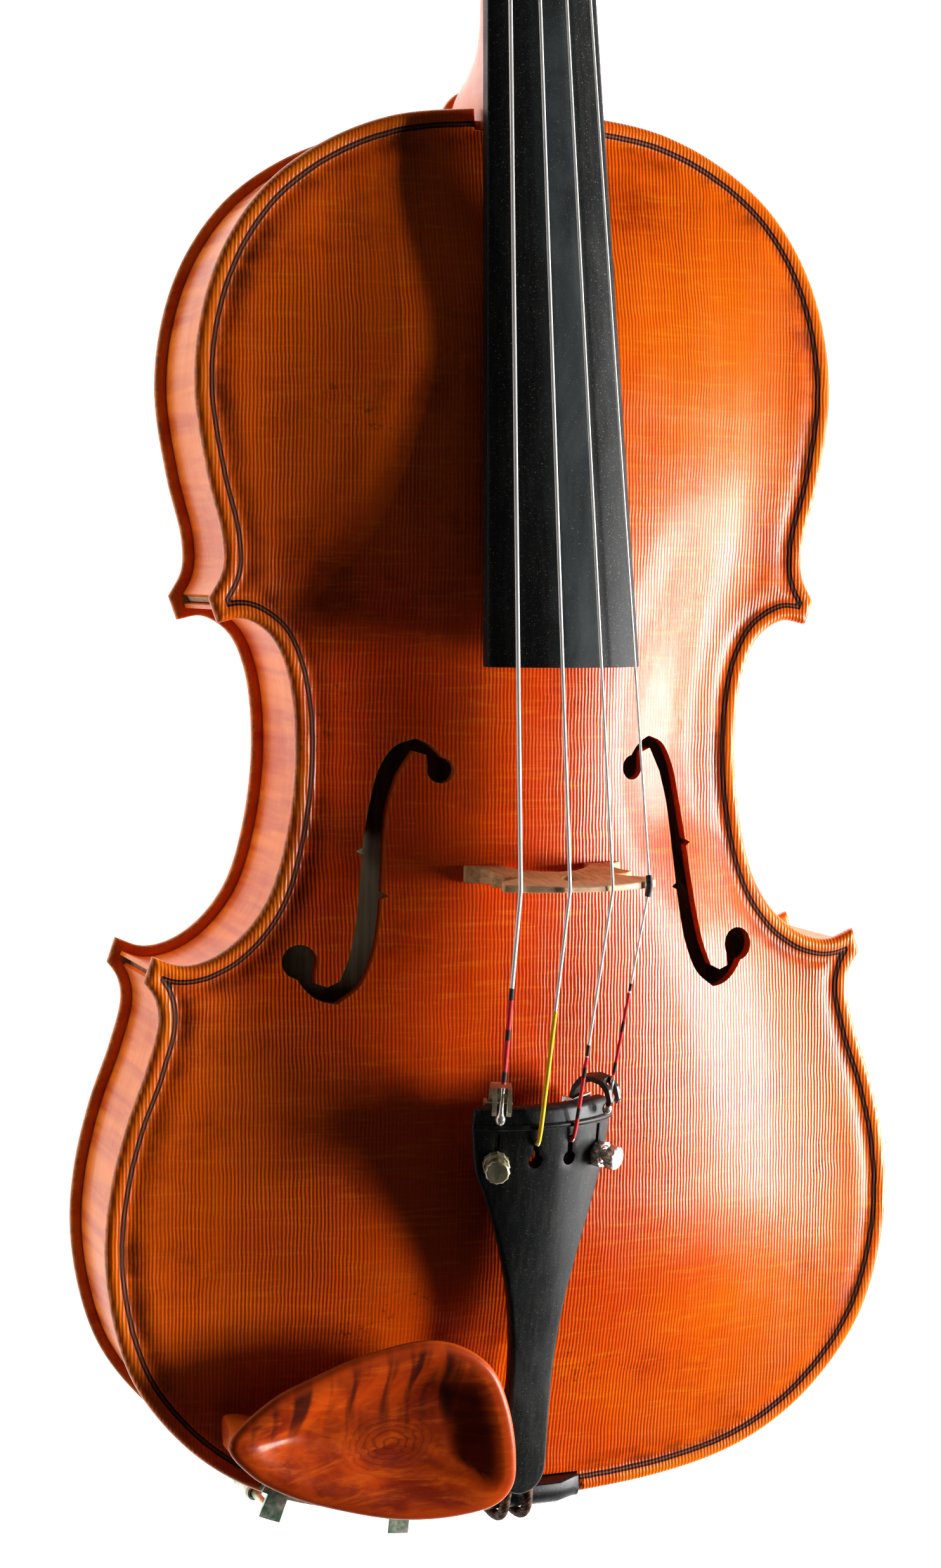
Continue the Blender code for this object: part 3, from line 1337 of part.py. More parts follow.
def end_button(hole_name):
    """The turned end button, and the hole for its shank through rib and block."""
    neck_r = BUTTON_NECK_RADIUS
    hole = ((BODY_LOW_Y - PLATE_EDGE, neck_r + FIT), (BODY_LOW_Y + 1.5 * END_BLOCK_DEPTH, neck_r + FIT))
    hole = helper(rod(hole_name, hole, 16, "Y"))
    hole.location.z = MIDDLE_Z
    end = BUTTON_END_Y
    groove = end + BUTTON_GROOVE
    rib = BODY_LOW_Y + OVERHANG - FIT
    head = BUTTON_HEAD_RADIUS
    profile = (
        (BODY_LOW_Y + END_BLOCK_DEPTH, neck_r - 0.4 * MM), (rib, neck_r), (rib, BUTTON_COLLAR_RADIUS),
        (rib - 1.6 * MM, BUTTON_COLLAR_RADIUS), (rib - 3 * MM, neck_r), (groove, neck_r),
        (groove - 0.6 * MM, head), (groove - 2.2 * MM, head), (end + 0.6 * MM, 0.84 * head),
        (end, 0.6 * head),
    )
    button = rod("end_button", profile, 16, "Y")
    button.location.z = MIDDLE_Z
    finish(button, EBONY)
    return hole


def tuner_frame(sign):
    """The frame of a fine tuner: its origin on the tailpiece's top, Z out of it, Y to the bridge."""
    u = sign * TUNER_SPREAD / 2
    up = tail_normal(u)
    ahead = tail_ahead().normalized()
    across = ahead.cross(up).normalized()
    ahead = up.cross(across)
    place = Matrix((across, ahead, up)).transposed().to_4x4()
    place.translation = tail_point(u, STRING_HOLE_Y)
    return place


# The lever's side view: distance ahead of the screw and height above the tailpiece's top, in mm
LEVER_HOOK = (
    (18.4, -8.6), (21.8, -6.4), (23.1, -2.2), (22.7, 1.4), (20.6, 3.8), (17.2, 5.0), (15.7, 4.3),
    (15.9, 3.2), (17.4, 3.4), (19.8, 2.2), (21.3, 0.4), (21.5, -2.2), (20.6, -5.2), (17.8, -7.2),
)
BALL_PLACE = Vector((0, 13.9 * MM, 2.2 * MM))


def tuner(name, sign, bridge_end):
    """A fine tuner: frame, lever and lock nut, and the screw's shank and head, on their own axes."""
    place = tuner_frame(sign)
    base = empty(f"{name}_tuner", place, bpy.data.objects["body_frame"])
    plate_top = -TAILPIECE_THICKNESS - FIT - FRAME_SINK
    plate_low = plate_top - FRAME_THICKNESS
    lever_top = plate_low - LEVER_DROP
    pivot_z = lever_top - 0.6 * MM
    nut_top = FIT + LOCK_NUT_HEIGHT
    wing = LEVER_WIDTH / 2 + FIT

    frame = box(f"{name}_tuner_frame", (-wing - MM, -4 * MM, plate_low), (wing + MM, 15.6 * MM, plate_top))
    post = rod(f"{name}_post", ((plate_low + 0.2 * MM, POST_RADIUS), (nut_top, POST_RADIUS)), 16)
    boolean(frame, helper(post, base), "UNION")
    for side in (-1, 1):
        x = sorted((side * wing, side * (wing + MM)))
        ear = box(f"{name}_ear_{side}", (x[0], PIVOT_REACH - 2.2 * MM, pivot_z - 2.1 * MM),
                  (x[1], PIVOT_REACH + 2.2 * MM, plate_low + 0.2 * MM))
        boolean(frame, helper(ear, base), "UNION")
    bore = rod(f"{name}_bore", ((plate_low - MM, SCREW_RADIUS + FIT), (nut_top + MM, SCREW_RADIUS + FIT)), 12)
    boolean(frame, helper(bore, base))
    eye = rod(f"{name}_eye", ((-2 * wing, PIVOT_RADIUS + FIT), (2 * wing, PIVOT_RADIUS + FIT)), 10, "X")
    eye.location = (0, PIVOT_REACH, pivot_z)
    boolean(frame, helper(eye, base))
    finish(frame, NICKEL, smooth=False, parent=base)

    axis = empty(f"{name}_lever_axis", Matrix.Translation((0, PIVOT_REACH, pivot_z)), base)
    side_view = [(-2.2, lever_top / MM - 1.1), (14, lever_top / MM - 1.2)] + list(LEVER_HOOK)
    side_view += [(14.5, lever_top / MM), (-2.2, lever_top / MM)]
    rings = [
        [(x, y * MM - PIVOT_REACH, z * MM - pivot_z) for y, z in side_view]
        for x in (-LEVER_WIDTH / 2, LEVER_WIDTH / 2)
    ]
    lever = new_object(f"{name}_lever", *loft(rings))
    pin_end = wing + 0.9 * MM
    pin = rod(f"{name}_pin", ((-pin_end, PIVOT_RADIUS), (pin_end, PIVOT_RADIUS)), 10, "X")
    boolean(lever, helper(pin, axis), "UNION")
    fork = box(f"{name}_fork", (-PRONG_GAP / 2, 1.5 * MM, 0.8 * MM - pivot_z),
               (PRONG_GAP / 2, 12 * MM, 10 * MM - pivot_z))
    boolean(lever, helper(fork, axis))
    finish(lever, NICKEL, smooth=False, parent=axis)

    lock = turned(((FIT, LOCK_NUT_RADIUS), (nut_top, LOCK_NUT_RADIUS)), 24, "Z", 0.3 * MM)
    lock += turned(((nut_top, POST_RADIUS + FIT), (FIT, POST_RADIUS + FIT)), 24, "Z")
    finish(new_object(f"{name}_lock_nut", *loft(lock, closed=True)), NICKEL, smooth=False, parent=base)

    knob_low = nut_top + KNOB_STAND
    bore_top = knob_low + 0.6 * KNOB_HEIGHT
    shank = rod(f"{name}_screw", ((lever_top + FIT, 0.7 * SCREW_RADIUS), (lever_top + MM, SCREW_RADIUS),
                                  (bore_top - FIT, SCREW_RADIUS)), 12)
    finish(shank, NICKEL, parent=base)
    knob = turned(((bore_top, SCREW_RADIUS + FIT), (knob_low, SCREW_RADIUS + FIT)), 24, "Z")
    knob += turned(((knob_low, KNOB_RADIUS), (knob_low + KNOB_HEIGHT - 0.4 * MM, KNOB_RADIUS)), 24, "Z",
                   0.3 * MM)
    knob += turned(((knob_low + KNOB_HEIGHT, KNOB_RADIUS - 0.7 * MM),), 24, "Z")
    finish(new_object(f"{name}_knob", *loft(knob)), NICKEL, smooth=False, parent=base)

    local_end = place.inverted() @ bridge_end
    pull = (local_end - BALL_PLACE).normalized()
    spine = ((-1.7, 0.3), (-1.2, 0.75), (0, 1), (1.15, 0.75), (1.5, 0.36), (9.3, 0.36))
    route = [BALL_PLACE + pull * (d * MM) - Vector((0, PIVOT_REACH, pivot_z)) for d, _ in spine]
    ball = tube(f"{name}_ball", route, BALL_RADIUS, 2, [r for _, r in spine])
    finish(ball, STEEL, parent=axis)
    return place @ (BALL_PLACE + pull * (10.5 * MM))


def string_route(place, string, tail):
    """A string's route from short of its winding, over nut and bridge, to its tail points."""
    _, radius, _, _, arrival = string
    touch, direction, _ = peg_tangent(place, string)
    reach = winding_radius(arrival, radius)
    sweep = math.hypot(reach, 2.2 * radius) + 2 * radius + 2 * FIT
    start = touch - direction * math.sqrt(sweep ** 2 - reach ** 2)
    route = [start, nut_point(place, radius), bridge_point(place, radius)] + tail
    return rounded(route, STRING_BEND, 3)


def strings_and_tuners(peg_objects):
    for place, string in zip(STRING_PLACES, STRINGS):
        name, radius, _, _, _ = string
        winding(place, string, peg_objects[name])
        over = bridge_point(place, radius)
        if abs(place) == 1:
            tail = [tuner(name, int(place), over)]
            swell = None
        else:
            u = math.copysign(KEYHOLE_SPREAD / 2, place)
            fret_y = TAILPIECE_TOP_Y - FRET_INSET
            lift = 2 * FIT + FRET_HEIGHT + radius
            low = -TAILPIECE_THICKNESS - 3 * FIT
            hole = STRING_HOLE_Y + STRING_SLOT_REACH - 1.5 * MM
            tail = [tail_point(u, fret_y, lift), tail_point(u, hole, 0.7 * MM)]
            tail += [tail_point(u, hole, low + 0.6 * MM)]
            swell = [(low, 1.4 * MM), (low - 1.2 * MM, BALL_RADIUS), (low - 2.6 * MM, BALL_RADIUS),
                     (low - 3 * MM, MM)]
        route = string_route(place, string, tail)
        shares = [1.0] * len(route)
        if swell:
            route += [tail_point(u, hole, depth) for depth, _ in swell]
            shares += [r / radius for _, r in swell]
        finish(tube(f"{name}_string", route, radius, 2, shares), STEEL)
        if place == 1:
            protector(route, over)


def protector(route, over):
    """The small tube that keeps the treble string out of the bridge, bent with the string."""
    half = PROTECTOR_LENGTH / 2
    ends = [over + (p - over).normalized() * half for p in (nut_point(1, STRINGS[-1][1]), route[-1])]
    line = rounded((ends[0], over, ends[1]), STRING_BEND, 3)
    inner = STRINGS[-1][1] + FIT
    rings = []
    for radius, order in ((PROTECTOR_RADIUS, line), (inner, list(reversed(line)))):
        for p in order:
            k = line.index(p)
            along = line[min(k + 1, len(line) - 1)] - line[max(k - 1, 0)]
            side = along.cross(Vector((0, 0, 1))).normalized()
            up = side.cross(along).normalized()
            rings.append([p + (side * math.cos(a) + up * math.sin(a)) * radius
                          for a in (2 * math.pi * n / 10 for n in range(10))])
    finish(new_object("string_protector", *loft(rings, closed=True)), TUBE)


def chin_rest():
    """The carved cup over the bass side, standing on a foot along the plate's edge."""
    rim = curve_through([to_body(p) for p in CUP_OUTLINE], 40, closed=True)[:-1]
    loop = rim + rim[:1]
    centre = sum(rim, Vector((0, 0))) / len(rim)
    edge = [Vector((-p.x, p.y)) for p in RUNS[0][::6]]
    foot_z = EDGE_Z + 2 * FIT + PAD_THICKNESS + FIT + CLAMP_PLATE

    def inset(distance, stride):
        out = []
        for k in range(0, len(rim), stride):
            along = rim[(k + 1) % len(rim)] - rim[k - 1]
            side = Vector((-along.y, along.x)).normalized()
            if (rim[k] + side * MM - centre).length > (rim[k] - centre).length:
                side = -side
            out.append(rim[k] + side * distance)
        return out

    def skins(x, y):
        p = Vector((x, y))
        depth = to_line(p, loop)
        share = min(max((depth - CUP_RIM) / (3.6 * CUP_RIM), 0), 1)
        bowl = share ** 2 * (3 - 2 * share)
        edge_round = 1.6 * MM * max(1 - depth / (0.8 * CUP_RIM), 0) ** 2
        top = CUP_Z - CUP_DEPTH * bowl - edge_round
        reach = to_line(p, edge)
        foot = min(max((18 * MM - reach) / (5 * MM), 0), 1)
        foot *= min(max((x + 97 * MM) / (6 * MM), 0), 1) * min(max((-26 * MM - x) / (6 * MM), 0), 1)
        low = (1 - foot) * (top - CUP_WALL) + foot * foot_z
        inward = (centre - p).normalized()
        side = max(1 - depth / (2 * CUP_RIM), 0)
        shift = inward * side * (4 * MM * (1 - foot) - 3.4 * MM * foot)
        return (x + shift.x, y + shift.y, low), (x, y, top)

    inner = inset(0.8 * CUP_RIM, 1) + inset(2 * CUP_RIM, 2)
    inner += grid_points(inset(2 * CUP_RIM, 1), [], 7.5 * MM, 4.5 * MM)
    finish(slab("chin_rest", rim, [], inner, skins), CUP_WOOD)


def clamp_plan(far_in, ears):
    """A strip along the bass side's edge past both legs, with or without an ear for each leg."""
    legs = [index_at(0, x) for x in LEG_PLACES]
    first = legs[0] - 5
    last = legs[1] + 5
    near = offset(RUNS[0], MM)
    ear = offset(RUNS[0], -LEG_STAND - 2 * LEG_RADIUS)
    far = offset(RUNS[0], far_in)
    outer = []
    for k in range(first, last + 1):
        leg = min(legs, key=lambda n: abs(n - k))
        if ears and abs(k - leg) == 3:
            outer += [near[k], ear[k]] if k < leg else [ear[k], near[k]]
        elif ears and abs(k - leg) < 3:
            outer += [ear[k]] if k == leg else []
        elif k in (first, last) or (k - first) % 6 == 0:
            outer.append(near[k])
    inner = [far[k] for k in range(last, first, -6)] + [far[first]]
    return mirrored(outer + inner)


def leg_axes():
    line = offset(RUNS[0], -LEG_STAND)
    return [Vector((-line[k].x, line[k].y)) for k in (index_at(0, x) for x in LEG_PLACES)]


def clamp():
    """The chin rest's clamp: a plate on each edge of the body, drawn together by two barrels."""
    pad_top = EDGE_Z + FIT + PAD_THICKNESS
    plate_low = pad_top + FIT
    pad_low = BACK_EDGE_Z - FIT - PAD_THICKNESS
    foot_top = pad_low - FIT
    pieces = (
        ("chin_rest_bracket", plate_low, plate_low + CLAMP_PLATE, EDGE_Z - UPPER_LEG_END, plate_low + 0.2 * MM),
        ("clamp_foot", foot_top - CLAMP_PLATE, foot_top, foot_top - 0.2 * MM, EDGE_Z - LOWER_LEG_END),
    )
    for name, low, high, leg_low, leg_high in pieces:
        plate = prism(name, clamp_plan(CLAMP_WIDTH, True), low, high)
        for n, p in enumerate(leg_axes()):
            leg = rod(f"{name}_leg_{n}", ((leg_low, LEG_RADIUS), (leg_high, LEG_RADIUS)), 12)
            leg.location = (p.x, p.y, 0)
            boolean(plate, helper(leg), "UNION")
        finish(plate, NICKEL, smooth=False)
    finish(prism("chin_rest_pad", clamp_plan(CLAMP_WIDTH, False), EDGE_Z + FIT, pad_top), CLOTH)
    finish(prism("clamp_pad", clamp_plan(CLAMP_WIDTH, False), pad_low, BACK_EDGE_Z - FIT), CLOTH)
    for n, p in enumerate(leg_axes()):
        high = EDGE_Z - BARREL_TOP
        low = high - BARREL_LENGTH
        wall = turned(((low, 0.8 * BARREL_RADIUS), (low + 0.8 * MM, BARREL_RADIUS),
                       (high - 0.8 * MM, BARREL_RADIUS), (high, 0.8 * BARREL_RADIUS),
                       (high, LEG_RADIUS + FIT), (low, LEG_RADIUS + FIT)), 12, "Z")
        barrel = new_object(f"clamp_barrel_{n + 1}", *loft(wall, closed=True))
        barrel.location = (p.x, p.y, 0)
        finish(barrel, NICKEL)


def main():
    clear_scene()
    steps = range(int(SCROLL_TURNS * SCROLL_STEPS))
    tip = max(scroll_point(k / SCROLL_STEPS, scroll_radius(k / SCROLL_STEPS))[0] for k in steps)
    empty("body_frame", Matrix.Translation((0, -(tip + BUTTON_END_Y) / 2, 0)))
    plates()
    mortise = neck_mortise()
    button_hole = end_button("button_hole")
    ribs(mortise, button_hole)
    blocks(linings(), mortise, button_hole)
    bar_and_post()
    fingerboard()
    nut()
    neck()
    bridge()
    tailpiece()
    saddle()
    tail_gut()
    strings_and_tuners(pegs())
    chin_rest()
    clamp()


main()
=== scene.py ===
"""The viola's looks: materials, fine pieces, lights and camera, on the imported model's frame."""

import math
import bmesh
import bpy
import numpy as np
from mathutils import Matrix, Vector
from mathutils.geometry import delaunay_2d_cdt
from mathutils.kdtree import KDTree


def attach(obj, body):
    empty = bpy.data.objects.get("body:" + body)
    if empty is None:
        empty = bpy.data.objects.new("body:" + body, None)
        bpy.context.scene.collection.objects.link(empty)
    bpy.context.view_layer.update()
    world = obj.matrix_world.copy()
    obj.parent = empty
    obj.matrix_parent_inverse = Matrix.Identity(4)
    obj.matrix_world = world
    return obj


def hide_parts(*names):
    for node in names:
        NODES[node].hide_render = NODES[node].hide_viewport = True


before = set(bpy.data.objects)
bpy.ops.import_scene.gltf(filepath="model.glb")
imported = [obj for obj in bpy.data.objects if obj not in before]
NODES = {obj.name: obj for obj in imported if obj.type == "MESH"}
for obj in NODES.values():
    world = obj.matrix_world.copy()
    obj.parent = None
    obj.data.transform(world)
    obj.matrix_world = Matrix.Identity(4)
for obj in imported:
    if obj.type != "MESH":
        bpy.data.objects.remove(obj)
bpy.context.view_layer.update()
MM = 0.001
FIT = 0.3 * MM
# The drawing's zero is the middle of the body; the frame's lies this much nearer the scroll
SHIFT_Y = -131.5960825 * MM

BODY_LENGTH = 406 * MM
RIB_LOW_Z = 18.5 * MM
RIB_HIGH_Z = 58.5 * MM
EDGE_Z = 62.5 * MM
BACK_EDGE_Z = 14.5 * MM
TOP_ARCH = 16.5 * MM
BACK_ARCH = 14.5 * MM
PLATE_THICKNESS = 3 * MM
PLATE_EDGE = 4 * MM
OVERHANG = 3 * MM
BODY_TOP_Y = BODY_LENGTH / 2
BODY_LOW_Y = -BODY_LENGTH / 2
NUT_Y = BODY_TOP_Y + 150 * MM
VOLUTE_Y = NUT_Y + 104 * MM
TAIL_LOW_Y = BODY_LOW_Y + 6.5 * MM
TAIL_LENGTH = 118.4 * MM
TAIL_TOP_Y = TAIL_LOW_Y + TAIL_LENGTH
TAIL_RADIUS = 38 * MM
TAIL_ROLL = -0.15
TAIL_SLOPE = (36 - 13.2) / 118.4
HOLE_Y = TAIL_TOP_Y - 15.3 * MM
# The fingerboard's underside: its height over the plate's edge and its fall towards the scroll
BOARD_RISE = 6.3 * MM
BOARD_SLOPE = 0.1165
BOARD_LENGTH = 307.5 * MM
BOARD_THICKNESS = 5 * MM
BOARD_RADIUS = 42 * MM
# Half of the fingerboard's width at the nut, and what the board's length adds to it
BOARD_NUT_HALF = 12.5 * MM
BOARD_SPREAD = 10.5 * MM
# How a plate's edge is rounded, outside and inside: how wide and how deep
OUTER_ROUND = (2.1 * MM, 1.8 * MM)
INNER_ROUND = (1.6 * MM, 1.3 * MM)
# The shallow channel inside the edge
FLUTE_DEPTH = 0.85 * MM
FLUTE_AT = 6.4 * MM
FLUTE_WIDTH = 2.5 * MM
# The arch falls away from a crown line between these two heights of the body
SPINE_LOW_Y = -0.105
SPINE_TOP_Y = 0.115
SPINE_FALL = 0.12
ARCH_POWER = 1.3
RIB_THICKNESS = 1.2 * MM
RIB_JOINT_X = 5.6 * MM
BUTTON_RADIUS = 11 * MM

# Half of the plates' outline in mm, in three smooth runs that meet at the corners
LOWER_RUN = (
    (0, -203), (24, -202.4), (47, -200.2), (66, -196.3), (81, -190.4), (95, -181.2), (107, -169),
    (115.5, -156), (121, -139.5), (123.5, -120), (122, -102), (117.6, -84), (111.6, -67.3),
    (108.3, -54), (109.4, -47.8), (112.4, -43.2),
)
MIDDLE_RUN = (
    (110, -36), (102, -38.8), (94, -37.5), (85, -31.8), (77, -21.5), (71.8, -6), (68.7, 19),
    (70.9, 42), (76.1, 53.2), (84, 58), (91.6, 56.9),
)
UPPER_RUN = (
    (94.1, 63.8), (90.2, 71.5), (90.2, 80.5), (94.6, 98), (98.3, 122), (96.4, 142.5), (89.8, 161.5),
    (78, 178.3), (62, 190.6), (42, 199.2), (20, 202.6), (0, 203),
)
RUN_STEPS = 240
CURVE_STEPS = 24
# A hexagonal grid's rows, in shares of its spacing
HEX_ROW = 0.866
# Half of the curve inside the edge where the arch begins
CHANNEL = (
    (0, -195), (46, -192), (78, -182), (101, -163), (113, -140), (115.5, -120), (110.5, -92),
    (100.5, -62), (88, -37), (74, -16), (64.5, 0), (60.7, 19), (63.5, 41), (71.5, 61), (82, 82),
    (88, 103), (90.3, 124), (87, 146), (77.5, 166), (58.5, 184), (36, 192.5), (0, 195.5),
)
# The treble f-hole: both sides of its stem, its eyes and the points of its wings
F_OUTER = (
    (36.2, 24.6), (41.5, 22.4), (45.6, 16), (48.2, 6), (50, -4), (51.6, -17), (53.2, -28),
    (55.2, -37), (58, -44),
)
F_INNER = (
    (40.6, 14), (43.2, 5), (44.4, -4), (45.4, -16), (46.6, -27), (48.6, -37), (52.6, -45.6),
    (58.6, -50.4),
)
F_UPPER_EYE = (29.6, 15.6, 3.6)
F_LOWER_EYE = (68.6, -38.6, 4.9)
F_UPPER_WING = ((36.6, 21), (33.4, 20))
F_LOWER_WING = ((61.4, -45.6), (64.4, -44.6))
F_UPPER_TURN = (31.4, 23.0)
F_LOWER_TURN = (65.4, -50.6)
# How far a nick points out of the stem, and how long it is on each side
NICK_REACH = 1.7
NICK_LENGTH = 1.3
CUP_OUTLINE = (
    (-95.1, -168.6), (-83.7, -157.5), (-69.6, -151.4), (-55.4, -146.8), (-36.7, -144.4),
    (-26.4, -147.2), (-17.4, -154.2), (-12.3, -165.4), (-9.8, -180.5), (-10.6, -189), (-15, -193.8),
    (-25.9, -196.1), (-43.5, -195.5), (-62.3, -190.8), (-77.9, -184.8), (-89.1, -177.5),
)


# ---------------------------------------------------------------- curves and plan meshes

def curve_through(points, count, closed=False):
    """count + 1 evenly spaced points along a smooth curve through the given ones."""
    pts = [Vector(p) for p in points]
    if closed:
        ends = [pts[-1]] + pts + pts[:2]
    else:
        ends = [2 * pts[0] - pts[1]] + pts + [2 * pts[-1] - pts[-2]]
    fine = []
    for k in range(1, len(ends) - 2):
        p0, p1, p2, p3 = ends[k - 1:k + 3]
        t1 = (p1 - p0).length ** 0.5
        t2 = t1 + (p2 - p1).length ** 0.5
        t3 = t2 + (p3 - p2).length ** 0.5
        for step in range(CURVE_STEPS):
            t = t1 + (t2 - t1) * step / CURVE_STEPS
            a1 = p0 * ((t1 - t) / t1) + p1 * (t / t1)
            a2 = p1 * ((t2 - t) / (t2 - t1)) + p2 * ((t - t1) / (t2 - t1))
            a3 = p2 * ((t3 - t) / (t3 - t2)) + p3 * ((t - t2) / (t3 - t2))
            b1 = a1 * ((t2 - t) / t2) + a2 * (t / t2)
            b2 = a2 * ((t3 - t) / (t3 - t1)) + a3 * ((t - t1) / (t3 - t1))
            fine.append(b1 * ((t2 - t) / (t2 - t1)) + b2 * ((t - t1) / (t2 - t1)))
    fine.append(ends[-2])
    return evenly(fine, count)


def evenly(line, count):
    """count + 1 points at equal steps of length along a polyline."""
    reach = [0.0]
    for a, b in zip(line, line[1:]):
        reach.append(reach[-1] + (b - a).length)
    out = []
    k = 0
    for step in range(count + 1):
        goal = reach[-1] * step / count
        while k < len(line) - 2 and reach[k + 1] < goal:
            k += 1
        span = max(reach[k + 1] - reach[k], 1e-12)
        out.append(line[k].lerp(line[k + 1], (goal - reach[k]) / span))
    return out


def drawn(points):
    return [Vector(p) * MM for p in points]


def flat(points):
    return np.array([tuple(p) for p in points])


def mirrored(points):
    return [Vector((-p[0], *p[1:])) for p in points]


def offset(line, distance):
    """The line moved to its left, which is into the body for the treble half."""
    out = []
    for k, p in enumerate(line):
        along = line[min(k + 1, len(line) - 1)] - line[max(k - 1, 0)]
        out.append(p + Vector((-along.y, along.x)).normalized() * distance)
    return out


def between(a, b, step=0.8 * MM):
    """The points strictly between two, about a step apart."""
    count = max(int((b - a).length / step), 1)
    return [a.lerp(b, k / count) for k in range(1, count)]


def gap_to(points, *lines):
    """Each point's distance to the nearest of some polylines."""
    a = np.concatenate([flat(line[:-1]) for line in lines])
    side = np.concatenate([flat(line[1:]) for line in lines]) - a
    count = np.maximum(np.ceil(np.hypot(side[:, 0], side[:, 1]) / (0.6 * MM)).astype(int), 1)
    owner = np.repeat(np.arange(len(a)), count)
    share = (np.arange(len(owner)) - (np.cumsum(count) - count)[owner] + 0.5) / count[owner]
    tree = KDTree(len(owner))
    for k, p in enumerate(a[owner] + side[owner] * share[:, None]):
        tree.insert((p[0], p[1], 0), k)
    tree.balance()
    near = owner[np.array([[hit[1] for hit in tree.find_n((p[0], p[1], 0), 4)] for p in points])]
    out = points[:, None] - a[near]
    share = np.clip((out * side[near]).sum(-1) / np.maximum((side[near] ** 2).sum(-1), 1e-18), 0, 1)
    return np.sqrt(((out - side[near] * share[..., None]) ** 2).sum(-1)).min(1)


def within(points, loop):
    loop = flat(loop)
    far = np.roll(loop, -1, 0)
    hit = np.zeros(len(points), bool)
    for a, b in zip(loop, far):
        if a[1] != b[1]:
            crosses = (a[1] > points[:, 1]) != (b[1] > points[:, 1])
            at_x = (b[0] - a[0]) * (points[:, 1] - a[1]) / (b[1] - a[1]) + a[0]
            hit ^= crosses & (points[:, 0] < at_x)
    return hit


def hexagons(loop, spacing):
    """A hexagonal grid over a loop's box, kept where it lies inside."""
    box = flat(loop)
    low, high = box.min(0), box.max(0)
    rows = []
    for row in range(int((high[1] - low[1]) / (spacing * HEX_ROW)) + 2):
        xs = np.arange(low[0] + 0.5 * spacing * (row % 2), high[0], spacing)
        rows.append(np.stack([xs, np.full(len(xs), low[1] + row * spacing * HEX_ROW)], 1))
    grid = np.concatenate(rows)
    return grid[within(grid, loop)]


def ringed(outline, spacing, margin, depths):
    """Plan points inside a closed outline: rings that follow its edge, and a grid beyond a margin."""
    rim = outline + outline[:1]
    grid = hexagons(outline, spacing)
    inner = [grid[gap_to(grid, rim) > margin]]
    way = 1 if within(flat([offset(rim, MM)[40]]), outline)[0] else -1
    for depth in depths:
        ring = flat(offset(rim, way * depth * MM))
        inner.append(ring[gap_to(ring, rim) > 0.98 * depth * MM])
    return np.concatenate(inner)


def clear_of(holes, points, margin):
    """The points that lie outside every hole, by more than a margin."""
    points = points[gap_to(points, *[hole + hole[:1] for hole in holes]) > margin]
    for hole in holes:
        points = points[~within(points, hole)]
    return points


def plan_mesh(outline, holes, inner):
    """(plan points, triangles) of an outline with holes, through the inner points as well."""
    plan = list(outline)
    loops = [list(range(len(plan)))]
    for hole in holes:
        loops.append(list(range(len(plan), len(plan) + len(hole))))
        plan += list(hole)
    edges = [(a, b) for loop in loops for a, b in zip(loop, loop[1:] + loop[:1])]
    plan += [Vector(p) for p in inner]
    points, _, cells, _, _, _ = delaunay_2d_cdt(plan, edges, [], 0, 1e-7)
    points = flat(points)
    cells = np.array([cell for cell in cells if len(cell) == 3])
    middles = points[cells].mean(1)
    keep = within(middles, outline)
    for hole in holes:
        keep &= ~within(middles, hole)
    return points, cells[keep]


def sheet_solid(points, cells, low, high):
    """The closed body between two skins, each given as one 3-D point for each plan point."""
    used, cells = np.unique(cells, return_inverse=True)
    cells = cells.reshape(-1, 3)
    verts = np.concatenate([low[used], high[used]])
    count = len(used)
    area = np.cross(points[used][cells[:, 1]] - points[used][cells[:, 0]],
                    points[used][cells[:, 2]] - points[used][cells[:, 0]])
    cells[area < 0] = cells[area < 0][:, ::-1]
    sides = {}
    for a, b, c in cells.tolist():
        for edge in ((a, b), (b, c), (c, a)):
            sides[edge] = True
    walls = [(a, b, b + count, a + count) for a, b in sides if (b, a) not in sides]
    faces = [tuple(c) for c in cells[:, ::-1].tolist()] + [tuple(c) for c in (cells + count).tolist()]
    return verts, faces + walls, used


def drawn_object(name, verts, faces, turn=True):
    """A mesh object from points of the drawing, with its faces turned outwards where asked."""
    mesh = bpy.data.meshes.new(name)
    mesh.from_pydata([(p[0], p[1] + SHIFT_Y, p[2]) for p in verts], [], faces)
    if turn:
        work = bmesh.new()
        work.from_mesh(mesh)
        bmesh.ops.recalc_face_normals(work, faces=work.faces)
        work.to_mesh(mesh)
        work.free()
    return shown(name, mesh)


def shown(name, data):
    obj = bpy.data.objects.new(name, data)
    bpy.context.collection.objects.link(obj)
    return obj


def dressed(obj, look, sharp):
    """Gives a mesh its one material, and smooth shading between its sharp edges."""
    mesh = obj.data
    mesh.materials.clear()
    mesh.materials.append(look)
    mesh.shade_smooth()
    mesh.set_sharp_from_angle(angle=math.radians(sharp))


def piece(name, verts, faces, look, nodes=(), slot=None, sharp=50, fields=None, turn=False):
    """A piece from points of the drawing, riding on the viola's body and standing for the nodes."""
    obj = drawn_object(name, verts, faces, turn)
    for key, values in (fields or {}).items():
        field = obj.data.attributes.new(key, "FLOAT", "POINT")
        field.data.foreach_set("value", np.array(values, np.float32))
    dressed(obj, look, sharp)
    return settle(obj, "viola", nodes)


def settle(obj, body, nodes=()):
    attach(obj, body)
    if nodes:
        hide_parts(*nodes)
    return obj


